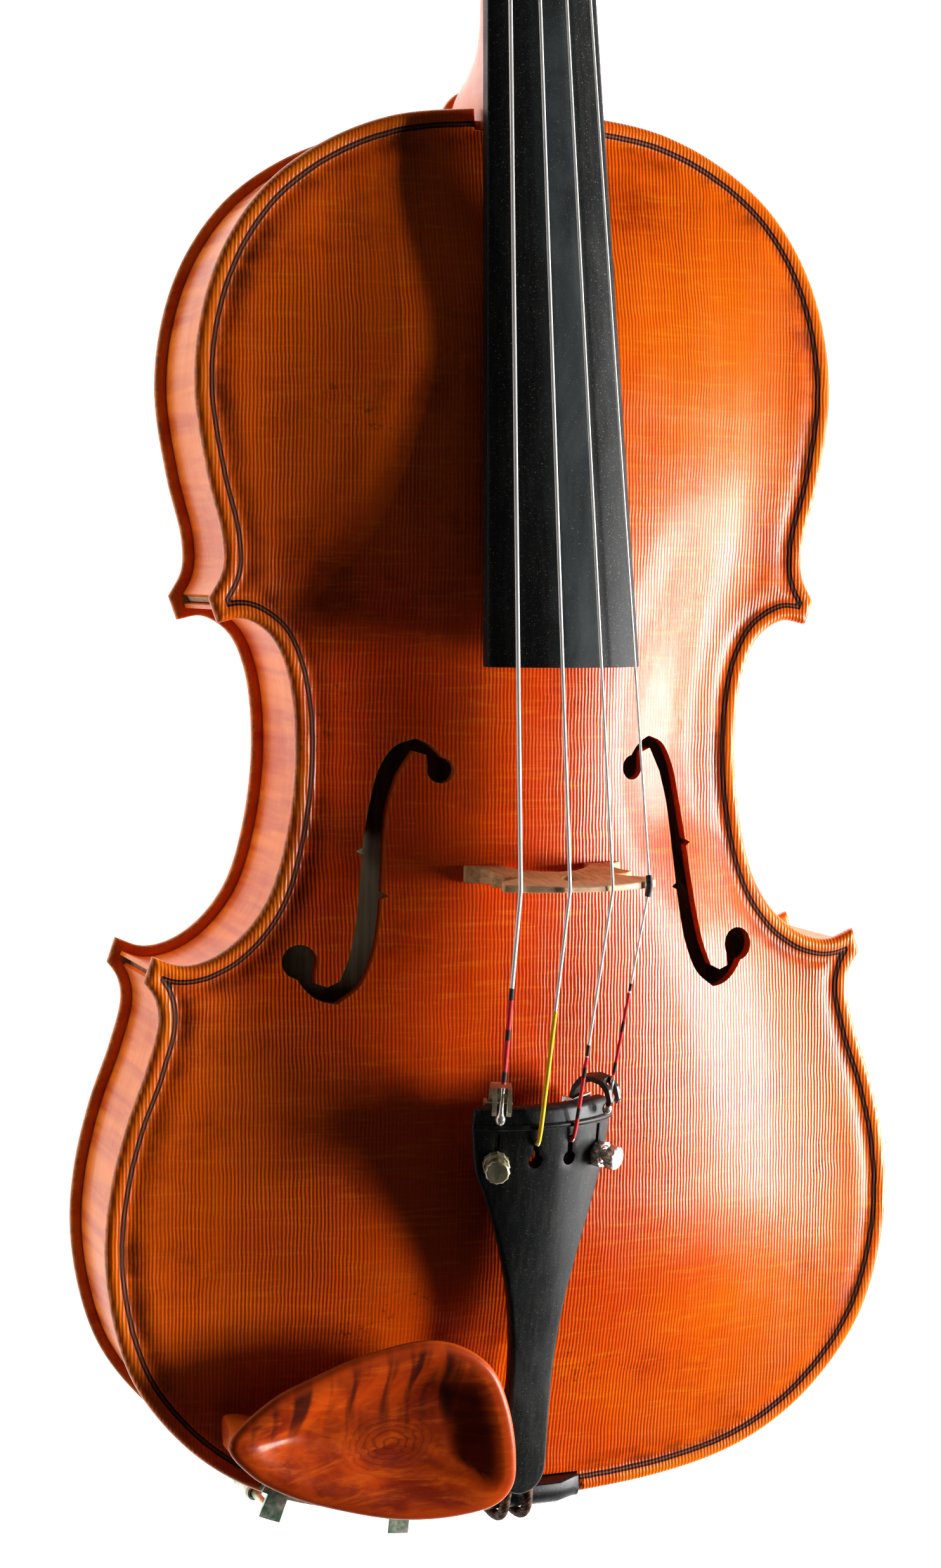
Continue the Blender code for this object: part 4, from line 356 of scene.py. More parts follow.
def loft(rings, closed=False):
    """Skins rings of equal count in turn, joins the last to the first or else caps both ends."""
    count = len(rings[0])
    verts = [p for ring in rings for p in ring]
    faces = []
    last = len(rings) if closed else len(rings) - 1
    for r in range(last):
        a = r * count
        b = (r + 1) % len(rings) * count
        faces += [(a + k, a + (k + 1) % count, b + (k + 1) % count, b + k) for k in range(count)]
    if not closed:
        faces += [tuple(range(count)), tuple(range(last * count, (last + 1) * count))]
    return verts, faces


def sweep(route, radius, sides=14, lobes=0, depth=0.0, twist=0.0):
    """A round cord along a route. Each of its lobes winds round it, twist turns to the metre."""
    route = [Vector(p) for p in route]
    rings = []
    along = 0.0
    side = None
    for k, p in enumerate(route):
        ahead = (route[min(k + 1, len(route) - 1)] - route[max(k - 1, 0)]).normalized()
        if side is None:
            side = ahead.cross(Vector((0.13, 0.2, 1))).normalized()
        side = (side - ahead * side.dot(ahead)).normalized()
        up = ahead.cross(side)
        here = radius[k] if isinstance(radius, (list, tuple)) else radius
        if k:
            along += (p - route[k - 1]).length
        ring = []
        for n in range(sides):
            a = 2 * math.pi * n / sides
            r = here * (1 - depth * abs(math.sin(lobes / 2 * (a - 2 * math.pi * twist * along))))
            ring.append(p + (side * math.cos(a) + up * math.sin(a)) * r)
        rings.append(ring)
    return loft(rings)


# ---------------------------------------------------------------- materials

class Look:
    """One material, built node by node on its Principled shader."""

    def __init__(self, name, **values):
        self.mat = bpy.data.materials.new(name)
        self.mat.use_nodes = True
        self.nodes = self.mat.node_tree.nodes
        self.shader = self.nodes["Principled BSDF"]
        coords = self.nodes.new("ShaderNodeTexCoord")
        self.place = coords.outputs["Object"]
        self.facing = coords.outputs["Normal"]
        for key, value in values.items():
            self.feed(self.shader, key.replace("_", " "), value)

    def feed(self, node, key, value):
        if isinstance(value, bpy.types.NodeSocket):
            self.mat.node_tree.links.new(value, node.inputs[key])
        elif value is not None:
            node.inputs[key].default_value = value

    def node(self, kind, *values, **named):
        made = self.nodes.new("ShaderNode" + kind)
        for key, value in [*enumerate(values), *named.items()]:
            self.feed(made, key, value)
        return made

    def noise(self, scale, detail=3.0, rough=0.5, vector=None, warp=0.0, turn=(0, 0, 0)):
        if not isinstance(scale, tuple):
            scale = (scale,) * 3
        placed = self.node("Mapping", Vector=vector or self.place, Scale=scale, Rotation=turn)
        return self.node("TexNoise", Vector=placed.outputs[0], Scale=1.0, Detail=detail, Roughness=rough,
                         Distortion=warp).outputs["Fac"]

    def wave(self, scale, warp=0.0, axis="X", detail_scale=1.0):
        made = self.node("TexWave", Vector=self.place, Scale=scale, Distortion=warp)
        self.feed(made, "Detail Scale", detail_scale)
        made.bands_direction = axis
        return made.outputs["Fac"]

    def part(self, vector, axis):
        return self.node("SeparateXYZ", vector).outputs[axis]

    def math(self, op, a, b=None, clamp=False):
        made = self.node("Math", a, b)
        made.operation = op
        made.use_clamp = clamp
        return made.outputs[0]

    def times(self, a, b):
        return self.math("MULTIPLY", a, b)

    def away(self, value, centre):
        """How far a value is from a centre, on either side."""
        return self.math("ABSOLUTE", self.math("SUBTRACT", value, centre))

    def span(self, value, low, high, out_low=0.0, out_high=1.0, smooth=True):
        """value carried from low..high to out_low..out_high, and held beyond."""
        made = self.node("MapRange", value, low, high, out_low, out_high)
        made.interpolation_type = "SMOOTHSTEP" if smooth else "LINEAR"
        return made.outputs[0]

    def mix(self, fac, a, b):
        made = self.nodes.new("ShaderNodeMix")
        made.data_type = "RGBA"
        self.feed(made, 0, fac)
        for key, colour in ((6, a), (7, b)):
            self.feed(made, key, (*colour, 1) if isinstance(colour, tuple) else colour)
        return made.outputs[2]

    def tinted(self, colour, tone, value, low, high, most=1.0):
        """colour, carried towards a tone by at most a share, where value goes from low to high."""
        return self.mix(self.span(value, low, high, 0.0, most), colour, tone)

    def attribute(self, name):
        made = self.nodes.new("ShaderNodeAttribute")
        made.attribute_name = name
        return made.outputs["Fac"]

    def done(self, colour, rough, height=None, strength=0.0, distance=0.0):
        """Finishes the material. height is the relief, with its strength and its depth in metres."""
        self.feed(self.shader, "Base Color", colour)
        self.feed(self.shader, "Roughness", rough)
        if height is not None:
            bump = self.node("Bump", Height=height, Strength=strength, Distance=distance)
            self.feed(self.shader, "Normal", bump.outputs[0])
        return self.mat


# The purfling's middle, in mm from the plate's edge
PURFLING_AT = 4.55
# The middle of the chin rest's burl, in metres
BURL_PLACE = (-0.046, -0.306)


def bare_wood(look, scale=1.0):
    """Pale unvarnished wood's colour, with its grain along Y."""
    streaks = look.noise((900 * scale, 14, 300), 4, 0.6)
    return look.tinted((0.62, 0.50, 0.34), (0.42, 0.31, 0.19), streaks, 0.35, 0.7)


def purfling(look, edge, colour):
    """Two dark lines let into the wood near its edge, with a paler strip between them."""
    wander = look.noise(120, 3, 0.6)
    place = look.math("ADD", edge, look.span(wander, 0.2, 0.8, -0.12, 0.12))
    side = look.away(place, PURFLING_AT)
    strip = look.span(side, 0.68, 0.85, 1.0, 0.0)
    colour = look.mix(look.times(strip, 0.9), colour, (0.20, 0.040, 0.006))
    return look.mix(look.times(strip, look.span(side, 0.16, 0.34)), colour, (0.014, 0.005, 0.003))


def worn_edge(look, edge, colour, amber):
    """Varnish rubbed away along the plate's edge, and darker patches in the channel just inside the purfling.
    """
    wear = look.noise(55, 5, 0.65)
    grit = look.noise(420, 4, 0.7)
    rubbed = look.times(look.span(edge, 4.2, 2.6), look.span(wear, 0.35, 0.65, 0.15, 0.9))
    colour = look.mix(rubbed, colour, amber)
    tip = look.times(look.span(edge, 1.3, 0.2), look.span(grit, 0.4, 0.6, 0.1, 0.75))
    colour = look.mix(tip, colour, (0.33, 0.10, 0.02))
    # Darker in patches along the channel just inside the purfling
    inside = look.times(look.span(edge, 4.9, 6.0), look.span(edge, 14.0, 6.4))
    channel_darkening = look.times(inside, look.span(wear, 0.4, 0.66, 0.0, 0.75))
    return look.mix(channel_darkening, colour, (0.13, 0.022, 0.004))


def spruce():
    """The belly: orange varnish, redder in the middle and golden towards the edges, over grain."""
    look = Look("belly_varnish", IOR=1.5, Specular_IOR_Level=0.27, Coat_Weight=0.06, Coat_Roughness=0.12,
                Coat_IOR=1.5)
    x, y = (look.part(look.place, axis) for axis in range(2))
    edge = look.attribute("edge")
    # Annual rings: uneven dark late-wood lines about a millimetre apart, along the body
    wander = look.noise((34, 2.2, 4), 3, 0.6)
    rings = look.times(look.wave(290, 3.2, "X", 0.35), look.span(wander, 0.25, 0.7, 0.35, 1.0))
    fine = look.noise((3100, 11, 20), 2, 0.6)
    strong = look.noise((40, 14, 9), 4, 0.65)
    lines = look.times(look.span(rings, 0.3, 0.85), look.span(strong, 0.3, 0.65, 0.45, 1.0))
    # Medullary rays cross the grain as short pale dashes
    rays = look.noise((60, 800, 60), 4, 0.7, warp=0.6)
    # The varnish is reddest down the middle of the lower half, and in blotches
    blotch = look.noise((10, 8, 8), 5, 0.62, warp=0.5)
    middle = look.span(look.away(x, -0.01), 0.025, 0.1, 1.0, 0.0)
    low = look.times(look.span(y, 0.0, -0.1, 0.1, 1.0), look.span(y, -0.32, -0.22, 0.35, 1.0))
    red = look.math("ADD", look.times(middle, low), look.span(blotch, 0.35, 0.7, -0.3, 0.55), clamp=True)
    colour = look.mix(red, (0.95, 0.160, 0.001), (0.76, 0.074, 0.003))
    tired = look.noise((22, 26, 22), 6, 0.72)
    colour = look.tinted(colour, (0.34, 0.035, 0.002), tired, 0.5, 0.72, 0.6)
    colour = look.mix(look.times(lines, 0.42), colour, (0.26, 0.026, 0.002))
    colour = look.tinted(colour, (0.38, 0.05, 0.003), fine, 0.4, 0.7, 0.3)
    colour = look.tinted(colour, (0.98, 0.27, 0.010), rays, 0.48, 0.75, 0.4)
    flecks = look.times(look.span(look.noise(16, 3, 0.6), 0.56, 0.66),
                        look.span(look.noise((330, 420, 330), 4, 0.75), 0.55, 0.66))
    colour = look.mix(look.times(flecks, 0.7), colour, (0.06, 0.016, 0.004))
    colour = worn_edge(look, edge, colour, (0.90, 0.215, 0.006))
    colour = purfling(look, edge, colour)
    # The f-holes' rims are rubbed pale, and the plate's inside is bare
    rim = look.span(look.attribute("hole"), 0.9, 0.15)
    colour = look.mix(look.times(rim, 0.55), colour, (0.60, 0.15, 0.02))
    up = look.part(look.facing, 2)
    inside = look.times(look.span(up, -0.25, -0.45), look.span(edge, 3.0, 3.3))
    colour = look.mix(inside, colour, bare_wood(look))
    # The purfling and the bare wood are duller than the varnish
    inlay = look.span(look.away(edge, PURFLING_AT), 0.8, 1.1, 1.0, 0.0)
    dull = look.times(look.math("MAXIMUM", inside, inlay), 0.4)
    rough = look.math("ADD", look.span(look.noise((60, 30, 30), 4, 0.6), 0.3, 0.7, 0.23, 0.33), dull)
    ridges = look.math("ADD", look.times(rings, 1.2), look.times(fine, 0.5))
    return look.done(colour, rough, look.math("ADD", ridges, look.times(rays, 0.25)), 0.8, 0.0001)


def maple(use):
    """Flamed maple under orange varnish, for the back, a rib or the neck."""
    look = Look(f"{use}_varnish", IOR=1.5, Specular_IOR_Level=0.25, Coat_Weight=0.1, Coat_Roughness=0.16,
                Coat_IOR=1.5)
    x, y, z = (look.part(look.place, axis) for axis in range(3))
    # The flames lie across the grain: mirrored at the back's joint, and upright on the ribs
    if use == "rib":
        joined = look.node("CombineXYZ", look.attribute("along"), z)
        scale, fine_scale, pore_scale = (150, 9, 1), (420, 30, 1), (60, 900, 1)
    else:
        aside = look.math("ABSOLUTE", x)
        joined = look.node("CombineXYZ", look.math("ADD", y, look.times(aside, 0.3)), aside, z)
        scale, fine_scale, pore_scale = (150, 14, 14), (430, 40, 40), (40, 900, 500)
    flame = look.noise(scale, 2, 0.5, joined.outputs[0], warp=0.4)
    fine = look.noise(fine_scale, 3, 0.6, joined.outputs[0])
    pores = look.noise(pore_scale, 3, 0.7, joined.outputs[0])
    blotch = look.noise((14, 14, 30), 4, 0.6)
    colour = look.tinted((0.72, 0.115, 0.010), (0.98, 0.25, 0.020), flame, 0.36, 0.64)
    colour = look.tinted(colour, (0.97, 0.34, 0.06), fine, 0.4, 0.7, 0.35)
    colour = look.tinted(colour, (0.62, 0.05, 0.008), blotch, 0.45, 0.75, 0.5)
    if use == "neck":
        colour = look.mix(0.6, colour, (0.36, 0.07, 0.02))
    colour = look.tinted(colour, (0.25, 0.035, 0.006), pores, 0.5, 0.75, 0.35)
    rough = look.span(blotch, 0.3, 0.7, 0.24, 0.36)
    if use == "back":
        edge = look.attribute("edge")
        up = look.part(look.facing, 2)
        colour = worn_edge(look, edge, colour, (0.84, 0.25, 0.03))
        colour = look.mix(look.span(up, 0.1, -0.1), colour, purfling(look, edge, colour))
        inside = look.times(look.span(up, 0.25, 0.45), look.span(edge, 3.0, 3.3))
        colour = look.mix(inside, colour, bare_wood(look, 0.4))
        rough = look.math("ADD", rough, look.times(inside, 0.4))
        # The glue joint down the middle
        joint = look.span(look.math("ABSOLUTE", x), 0.0001, 0.0004, 1.0, 0.0)
        colour = look.mix(look.times(joint, 0.6), colour, (0.10, 0.015, 0.004))
    return look.done(colour, rough, look.math("ADD", flame, pores), 0.2, 0.0001)


def inner_wood():
    look = Look("bare_inner_wood", IOR=1.45)
    grain = look.noise((700, 20, 300), 4, 0.6)
    return look.done(bare_wood(look, 0.7), look.span(grain, 0.3, 0.7, 0.6, 0.8), grain, 0.3, 0.0001)


def ebony(name, dust=0.0, sheen=0.0, painted_sheen_band=False):
    """Black wood with open pores along Y and rosin dust. A board's middle gets a painted sheen: a paler
    blue-grey band between the strings.
    """
    look = Look(name, IOR=1.5, Specular_IOR_Level=0.32)
    grain = look.noise((700, 18, 500), 5, 0.65)
    smear = look.noise((35, 14, 35), 5, 0.65, warp=1.0)
    colour = look.tinted((0.009, 0.010, 0.010), (0.026, 0.026, 0.024), grain, 0.4, 0.75)
    colour = look.tinted(colour, (0.022, 0.025, 0.024), smear, 0.5, 0.75, 0.4 + dust)
    if dust:
        specks = look.span(look.noise(2600, 2, 0.5), 0.64, 0.74, 0.0, 0.8 * dust, False)
        colour = look.mix(specks, colour, (0.5, 0.5, 0.42))
    if painted_sheen_band:
        # Painted sheen: a paler blue-grey band down the board's middle, broken up by the smears
        x, y = (look.part(look.place, axis) for axis in range(2))
        painted_sheen_mask = look.times(look.span(look.away(x, 0.0015), 0.009, 0.003), look.span(y, 0.2, 0.0))
        painted_sheen_mask = look.times(painted_sheen_mask, look.span(smear, 0.3, 0.7, 0.25, 0.9))
        colour = look.mix(painted_sheen_mask, colour, (0.070, 0.082, 0.084))
    return look.done(colour, look.span(smear, 0.3, 0.7, 0.33 + sheen, 0.5 + sheen), grain, 0.25, 0.00008)


def bridge_wood():
    look = Look("bridge_wood", IOR=1.45)
    flecks = look.noise((700, 700, 90), 4, 0.7)
    grime = look.noise((60, 60, 90), 5, 0.6)
    colour = look.tinted((0.88, 0.52, 0.25), (0.62, 0.31, 0.12), flecks, 0.4, 0.7)
    colour = look.tinted(colour, (0.35, 0.15, 0.05), grime, 0.5, 0.75, 0.35)
    colour = look.tinted(colour, (0.62, 0.50, 0.38), look.part(look.place, 2), 0.1, 0.113, 0.45)
    return look.done(colour, look.span(grime, 0.3, 0.7, 0.45, 0.65), flecks, 0.3, 0.00008)


def metal(name, base, stain, rough, dirt):
    look = Look(name, Metallic=0.75)
    spots = look.noise(500, 5, 0.7)
    film = look.noise(160, 4, 0.6)
    colour = look.tinted(base, stain, film, 0.4, 0.7, dirt)
    colour = look.tinted(colour, tuple(c * 0.35 for c in stain), spots, 0.6, 0.75, dirt)
    return look.done(colour, look.span(spots, 0.3, 0.75, rough, rough + 0.22), spots, 0.15, 0.00005)


def string_metal():
    look = Look("string_winding_wire", Metallic=0.2)
    film = look.noise((300, 40, 300), 4, 0.6)
    colour = look.tinted((1.0, 0.98, 0.95), (0.88, 0.85, 0.80), film, 0.35, 0.7, 0.5)
    return look.done(colour, look.span(film, 0.3, 0.7, 0.28, 0.42), look.wave(900, axis="Y"), 0.08, 0.00002)


def figured_wood():
    """The chin rest: polished red-brown wood with dark flames, a burl and an orange rim."""
    look = Look("chin_rest_figure", IOR=1.5, Specular_IOR_Level=0.16, Coat_Weight=0.05, Coat_Roughness=0.2,
                Coat_IOR=1.5)
    x, y = (look.part(look.place, axis) for axis in range(2))
    wash = look.noise(26, 4, 0.55, warp=1.2)
    streak = look.noise((115, 17, 20), 2, 0.5, warp=0.9, turn=(0, 0, math.radians(-24)))
    swirl = look.noise((45, 150, 45), 5, 0.6, warp=2.2)
    colour = look.tinted((0.50, 0.070, 0.006), (0.20, 0.020, 0.005), wash, 0.35, 0.65)
    colour = look.tinted(colour, (0.62, 0.120, 0.010), swirl, 0.45, 0.7, 0.5)
    # The burl's rings, round one point near the middle of the cup and longer along X
    out_x = look.math("SUBTRACT", x, BURL_PLACE[0])
    out_y = look.times(look.math("SUBTRACT", y, BURL_PLACE[1]), 1.6)
    reach = look.math("SQRT", look.math("ADD", look.times(out_x, out_x), look.times(out_y, out_y)))
    rings = look.math("SINE", look.math("ADD", look.times(reach, 2600.0), look.times(swirl, 14.0)))
    near = look.times(look.span(reach, 0.022, 0.004), 0.45)
    colour = look.mix(look.times(look.span(rings, 0.2, 0.9), near), colour, (0.10, 0.012, 0.006))
    # The flames, on the upper left of the bowl
    upper = look.times(look.span(y, -0.308, -0.294), look.span(x, -0.018, -0.03))
    dark = look.times(look.span(streak, 0.44, 0.62), upper)
    colour = look.mix(look.times(dark, 0.85), colour, (0.030, 0.008, 0.007))
    rim = look.attribute("rim")
    colour = look.mix(look.times(look.span(rim, 4.0, 1.4), 0.6), colour, (0.44, 0.060, 0.008))
    colour = look.tinted(colour, (0.80, 0.20, 0.02), rim, 0.9, 0.1, 0.3)
    scratch = look.noise((400, 900, 400), 4, 0.7)
    return look.done(colour, look.span(scratch, 0.3, 0.75, 0.26, 0.4), swirl, 0.12, 0.0001)


def gut():
    look = Look("tail_gut_cord", IOR=1.45)
    twist = look.wave(120, 3.0, "DIAGONAL", 2.0)
    fuzz = look.noise(900, 3, 0.7)
    return look.done(look.tinted((0.045, 0.02, 0.010), (0.13, 0.06, 0.028), twist, 0.2, 0.8),
                     look.span(fuzz, 0.3, 0.7, 0.5, 0.75),
                     look.math("ADD", twist, look.times(fuzz, 0.4)), 0.5, 0.0002)


def cloth():
    look = Look("green_felt", IOR=1.4, Sheen_Weight=0.4)
    fuzz = look.noise(1200, 4, 0.75)
    colour = look.tinted((0.02, 0.17, 0.09), (0.10, 0.38, 0.22), fuzz, 0.35, 0.7)
    colour = look.tinted(colour, (0.5, 0.55, 0.45), look.noise(150, 4, 0.6), 0.55, 0.7, 0.8)
    return look.done(colour, look.span(fuzz, 0.3, 0.7, 0.8, 1.0), fuzz, 0.8, 0.0004)


def tube_rubber():
    look = Look("protector_tube", IOR=1.45)
    scuff = look.noise(900, 4, 0.7)
    colour = look.tinted((0.03, 0.03, 0.032), (0.09, 0.09, 0.09), scuff, 0.35, 0.7)
    return look.done(colour, look.span(scuff, 0.3, 0.7, 0.45, 0.7))


def silk(name, colour, dark, turns):
    """Thread wound round a string's end, with a dark thread spiralling through it."""
    look = Look(name, IOR=1.45, Sheen_Weight=0.3)
    fuzz = look.noise(2500, 3, 0.7)
    tint = look.tinted(colour, tuple(0.6 * c for c in colour), fuzz, 0.35, 0.7, 0.4)
    return look.done(look.tinted(tint, dark, look.wave(turns, axis="Y"), 0.78, 0.9),
                     look.span(fuzz, 0.3, 0.7, 0.6, 0.8), fuzz, 0.4, 0.0001)


# ---------------------------------------------------------------- the body

RUNS = [curve_through(drawn(run), RUN_STEPS) for run in (LOWER_RUN, MIDDLE_RUN, UPPER_RUN)]
CHANNEL_HALF = curve_through(drawn(CHANNEL), 150)
CHANNEL_LOOP = CHANNEL_HALF + mirrored(reversed(CHANNEL_HALF[1:-1]))


def index_at(index, x):
    return min(range(RUN_STEPS + 1), key=lambda k: abs(RUNS[index][k].x - x))


def half_rim(low, high):
    """The treble half of the outline between two distances from the middle, corners included."""
    half = RUNS[0][index_at(0, low):]
    for run in (RUNS[1], RUNS[2][:index_at(2, high) + 1]):
        half = half + between(half[-1], run[0]) + run
    half = list(half)
    half[0] = Vector((low, half[0].y))
    half[-1] = Vector((high, half[-1].y))
    return half


def rise(points):
    """The arch at each plan point, from 0 at the channel to 1 at the crown."""
    spine = np.stack([np.zeros(len(points)), np.clip(points[:, 1], SPINE_LOW_Y, SPINE_TOP_Y)], 1)
    out = points - spine
    loop = flat(CHANNEL_LOOP)
    side = np.roll(loop, -1, 0) - loop
    far = np.full(len(points), 1e9)
    batch = 4000
    for start in range(0, len(points), batch):
        part = slice(start, start + batch)
        ray = out[part, None]
        a = loop[None] - spine[part, None]
        slant = ray[..., 0] * side[None, :, 1] - ray[..., 1] * side[None, :, 0]
        slant = np.where(np.abs(slant) < 1e-15, 1e-15, slant)
        along = (a[..., 0] * side[None, :, 1] - a[..., 1] * side[None, :, 0]) / slant
        on_side = (a[..., 0] * ray[..., 1] - a[..., 1] * ray[..., 0]) / slant
        good = (along > 0) & (on_side >= -1e-6) & (on_side <= 1 + 1e-6)
        far[part] = np.where(good, along, 1e9).min(1)
    share = np.minimum(1 / far, 1.0)
    share[np.hypot(out[:, 0], out[:, 1]) < 1e-6] = 0
    middle = 1 - SPINE_FALL * (spine[:, 1] / SPINE_TOP_Y) ** 2
    return middle * np.cos(math.pi / 2 * share ** ARCH_POWER) ** 2


def edge_drop(d, reach, depth):
    """How far a rounded edge has dropped at a distance from it."""
    share = np.clip((reach - d) / reach, 0, 1)
    return depth * (1 - np.sqrt(np.maximum(1 - share ** 2, 0)))


def flute(d):
    """The channel's depth at a distance from the edge."""
    return FLUTE_DEPTH * np.exp(-((d - FLUTE_AT) / FLUTE_WIDTH) ** 2)


# The plates' plan points: a grid, and closer rings that follow the edge
PLAN_SPACING = 2.4 * MM
PLAN_MARGIN = 9.4 * MM
RING_DEPTHS = [d * MM for d in (0.07, 0.28, 0.62, 1.05, 1.55, 2.1, 2.8, 3.5, 4.2, 4.9, 5.6, 6.4, 7.3, 8.3)]


def plate_plan(outline, rims, holes):
    """A fine plan mesh whose points follow the edge, with each point's distance to the rims."""
    grid = hexagons(outline, PLAN_SPACING)
    gap = gap_to(grid, *rims)
    inner = [grid[gap > PLAN_MARGIN]]
    for rim in rims:
        closed = (rim[0] - rim[-1]).length < 2 * MM
        for depth in RING_DEPTHS:
            ring = flat(offset(rim, depth))
            good = gap_to(ring, *rims) > 0.985 * depth
            inner.append(ring[good & within(ring, outline)] if not closed else ring[good])
    inner = np.concatenate(inner)
    if holes:
        inner = clear_of(holes, inner, 0.5 * MM)
    points, cells = plan_mesh(outline, holes, inner)
    return points, cells, gap_to(points, *rims)


def arc(circle, start, stop, steps):
    x, y, radius = circle
    angles = [math.radians(start + (stop - start) * k / steps) for k in range(steps + 1)]
    return [Vector((x + radius * math.cos(a), y + radius * math.sin(a))) for a in angles]


def nicked(side, outward):
    """An f-hole's side with the small pointed nick at its middle."""
    middle = len(side) // 2
    here = side[middle]
    along = (side[middle + 1] - side[middle - 1]).normalized()
    notch = [here - along, here + Vector((outward * NICK_REACH, 0)), here + along]
    before, after = ([p for p in part if (p - here).length > NICK_LENGTH]
                     for part in (side[:middle], side[middle + 1:]))
    return before + notch + after


def rounded(a, corner, b):
    """The points between a and b on the quadratic curve that the corner controls."""
    return [a.lerp(corner, t).lerp(corner.lerp(b, t), t) for t in (0.15, 0.3, 0.45, 0.6, 0.75, 0.9)]


def f_hole():
    """The treble f-hole as one loop: upper eye, outer side, lower eye and inner side."""
    outer = nicked(curve_through(F_OUTER, 56), 1)
    inner = nicked(curve_through(F_INNER, 52), -1)[::-1]
    loop = arc(F_UPPER_EYE, 15, -265, 30)
    loop += rounded(loop[-1], Vector(F_UPPER_TURN), outer[0]) + outer
    loop += [Vector(p) for p in F_LOWER_WING]
    loop += arc(F_LOWER_EYE, 205, -80, 34)
    loop += rounded(loop[-1], Vector(F_LOWER_TURN), inner[0]) + inner
    loop += [Vector(p) for p in F_UPPER_WING]
    return drawn(loop)


def plate(name, points, cells, gap, skins, look, node, slot, fields):
    """A plate between its lower and its upper skin, with its distance to the edge as a field."""
    verts, faces, used = sheet_solid(points, cells, *(np.column_stack([points, z]) for z in skins))
    fields = {key: np.tile(values[used], 2) for key, values in {"edge": gap / MM, **fields}.items()}
    piece(name, verts, faces, look, nodes=(node,), slot=slot, fields=fields)


def belly():
    low_x, high_x = 20.3 * MM, 16.8 * MM
    half = half_rim(low_x, high_x)
    outline = [Vector((low_x, BODY_LOW_Y + 6.8 * MM))] + half + [Vector((high_x, BODY_TOP_Y - 6.3 * MM))]
    outline = outline + mirrored(reversed(outline))
    treble = f_hole()
    bass = mirrored(reversed(treble))
    rims = [half, list(mirrored(half))[::-1]]
    points, cells, gap = plate_plan(outline, rims, [bass, treble])
    arch = rise(points)
    top = EDGE_Z + TOP_ARCH * arch - edge_drop(gap, *OUTER_ROUND) - flute(gap)
    low = RIB_HIGH_Z + (TOP_ARCH + PLATE_EDGE - PLATE_THICKNESS) * arch + edge_drop(gap, *INNER_ROUND)
    holes = gap_to(points, bass + bass[:1], treble + treble[:1])
    plate("belly", points, cells, gap, (low, top), spruce(), "top_plate", "spruce_varnish",
          {"hole": np.minimum(holes / MM, 20)})


def back():
    half = half_rim(0, 12 * MM)
    centre = BODY_TOP_Y + 2 * MM
    button = [Vector((BUTTON_RADIUS * math.cos(a), centre + BUTTON_RADIUS * math.sin(a)))
              for a in (math.pi / 2 * k / 24 for k in range(25))]
    button[-1].x = 0
    half = half + between(half[-1], button[0]) + button
    rim = half + mirrored(reversed(half[1:-1]))
    points, cells, gap = plate_plan(rim, [rim + rim[:1]], [])
    arch = rise(points)
    low = BACK_EDGE_Z - BACK_ARCH * arch + edge_drop(gap, *OUTER_ROUND) + flute(gap)
    top = RIB_LOW_Z - (BACK_ARCH + PLATE_EDGE - PLATE_THICKNESS) * arch - edge_drop(gap, *INNER_ROUND)
    plate("back", points, cells, gap, (low, top), maple("back"), "back_plate", "maple_varnish", {})


# Where each rib starts and stops, in steps of its run
RIB_ENDS = (("lower", 0, 237), ("middle", 5, 235), ("upper", 3, 234))
# Sets each rib's flames apart from the last one's
FLAME_SHIFT = 0.7


def ribs():
    low = RIB_LOW_Z + FIT
    high = RIB_HIGH_Z - FIT
    look = maple("rib")
    for index, (name, first, last) in enumerate(RIB_ENDS):
        outer, inner = (offset(RUNS[index], inset)[first:last + 1]
                        for inset in (OVERHANG, OVERHANG + RIB_THICKNESS))
        if index == 0:
            start = [k for k, p in enumerate(outer) if p.x > RIB_JOINT_X][0]
            outer, inner = outer[start:], inner[start:]
        for side, a, b in (("treble", outer, inner), ("bass", mirrored(outer), mirrored(inner))):
            rings = []
            along = []
            reach = 0.0
            for k, (p, q) in enumerate(zip(a, b)):
                reach += (p - a[k - 1]).length if k else 0
                rings.append([(p.x, p.y, low), (p.x, p.y, high), (q.x, q.y, high), (q.x, q.y, low)])
                along += [reach + index * FLAME_SHIFT] * 4
            piece(f"{name}_rib_{side}_wood", *loft(rings), look, nodes=(f"{name}_rib_{side}",),
                  slot="maple_varnish", turn=True, fields={"along": along})


# ---------------------------------------------------------------- neck, fingerboard and scroll

HEEL = (
    (-6, 16.5, 1.0, 8, 0.34), (1, 16.5, 1.0, 8, 0.34), (8, 16, 1.0, 6, 0.42),
    (12.5, 15.9, 0.9, 4, 0.45), (16, 16, 0.7, 3, 0.36), (21, 16.2, 0.48, 2.5, 0.2),
    (29, 16, 0.34, 2.2, 0.05), (42, 15.6, 0.285, 2.1, 0),
)
PEGBOX = (
    (6.4, 12.4, 0, 16), (7.2, 12.6, -1.2, 19), (14, 13, -1.6, 24.6), (24, 13.1, -1.4, 28.4),
    (42, 12.9, -0.2, 27.2), (62, 12.1, 2.6, 21.8), (74, 11.4, 4.3, 18.6), (80.5, 11, 7.5, 20.2),
    (86, 10.3, 12, 18.6), (92, 9.4, 16, 12),
)
PEG_SLOT = ((8.5, 8, 15.5), (20, 8.5, 21), (50, 7.7, 19.8), (82, 6.2, 14.4))
SCROLL_STEPS = 72
SCROLL_TURNS = 2.5
SCROLL_START = -150
SCROLL_DROP = 13.5 * MM
# The spiral's first radius, and how much of it each turn leaves
SCROLL_RADIUS = 23.5 * MM
SCROLL_SHRINK = 0.52
EYE_HALF = 23 * MM
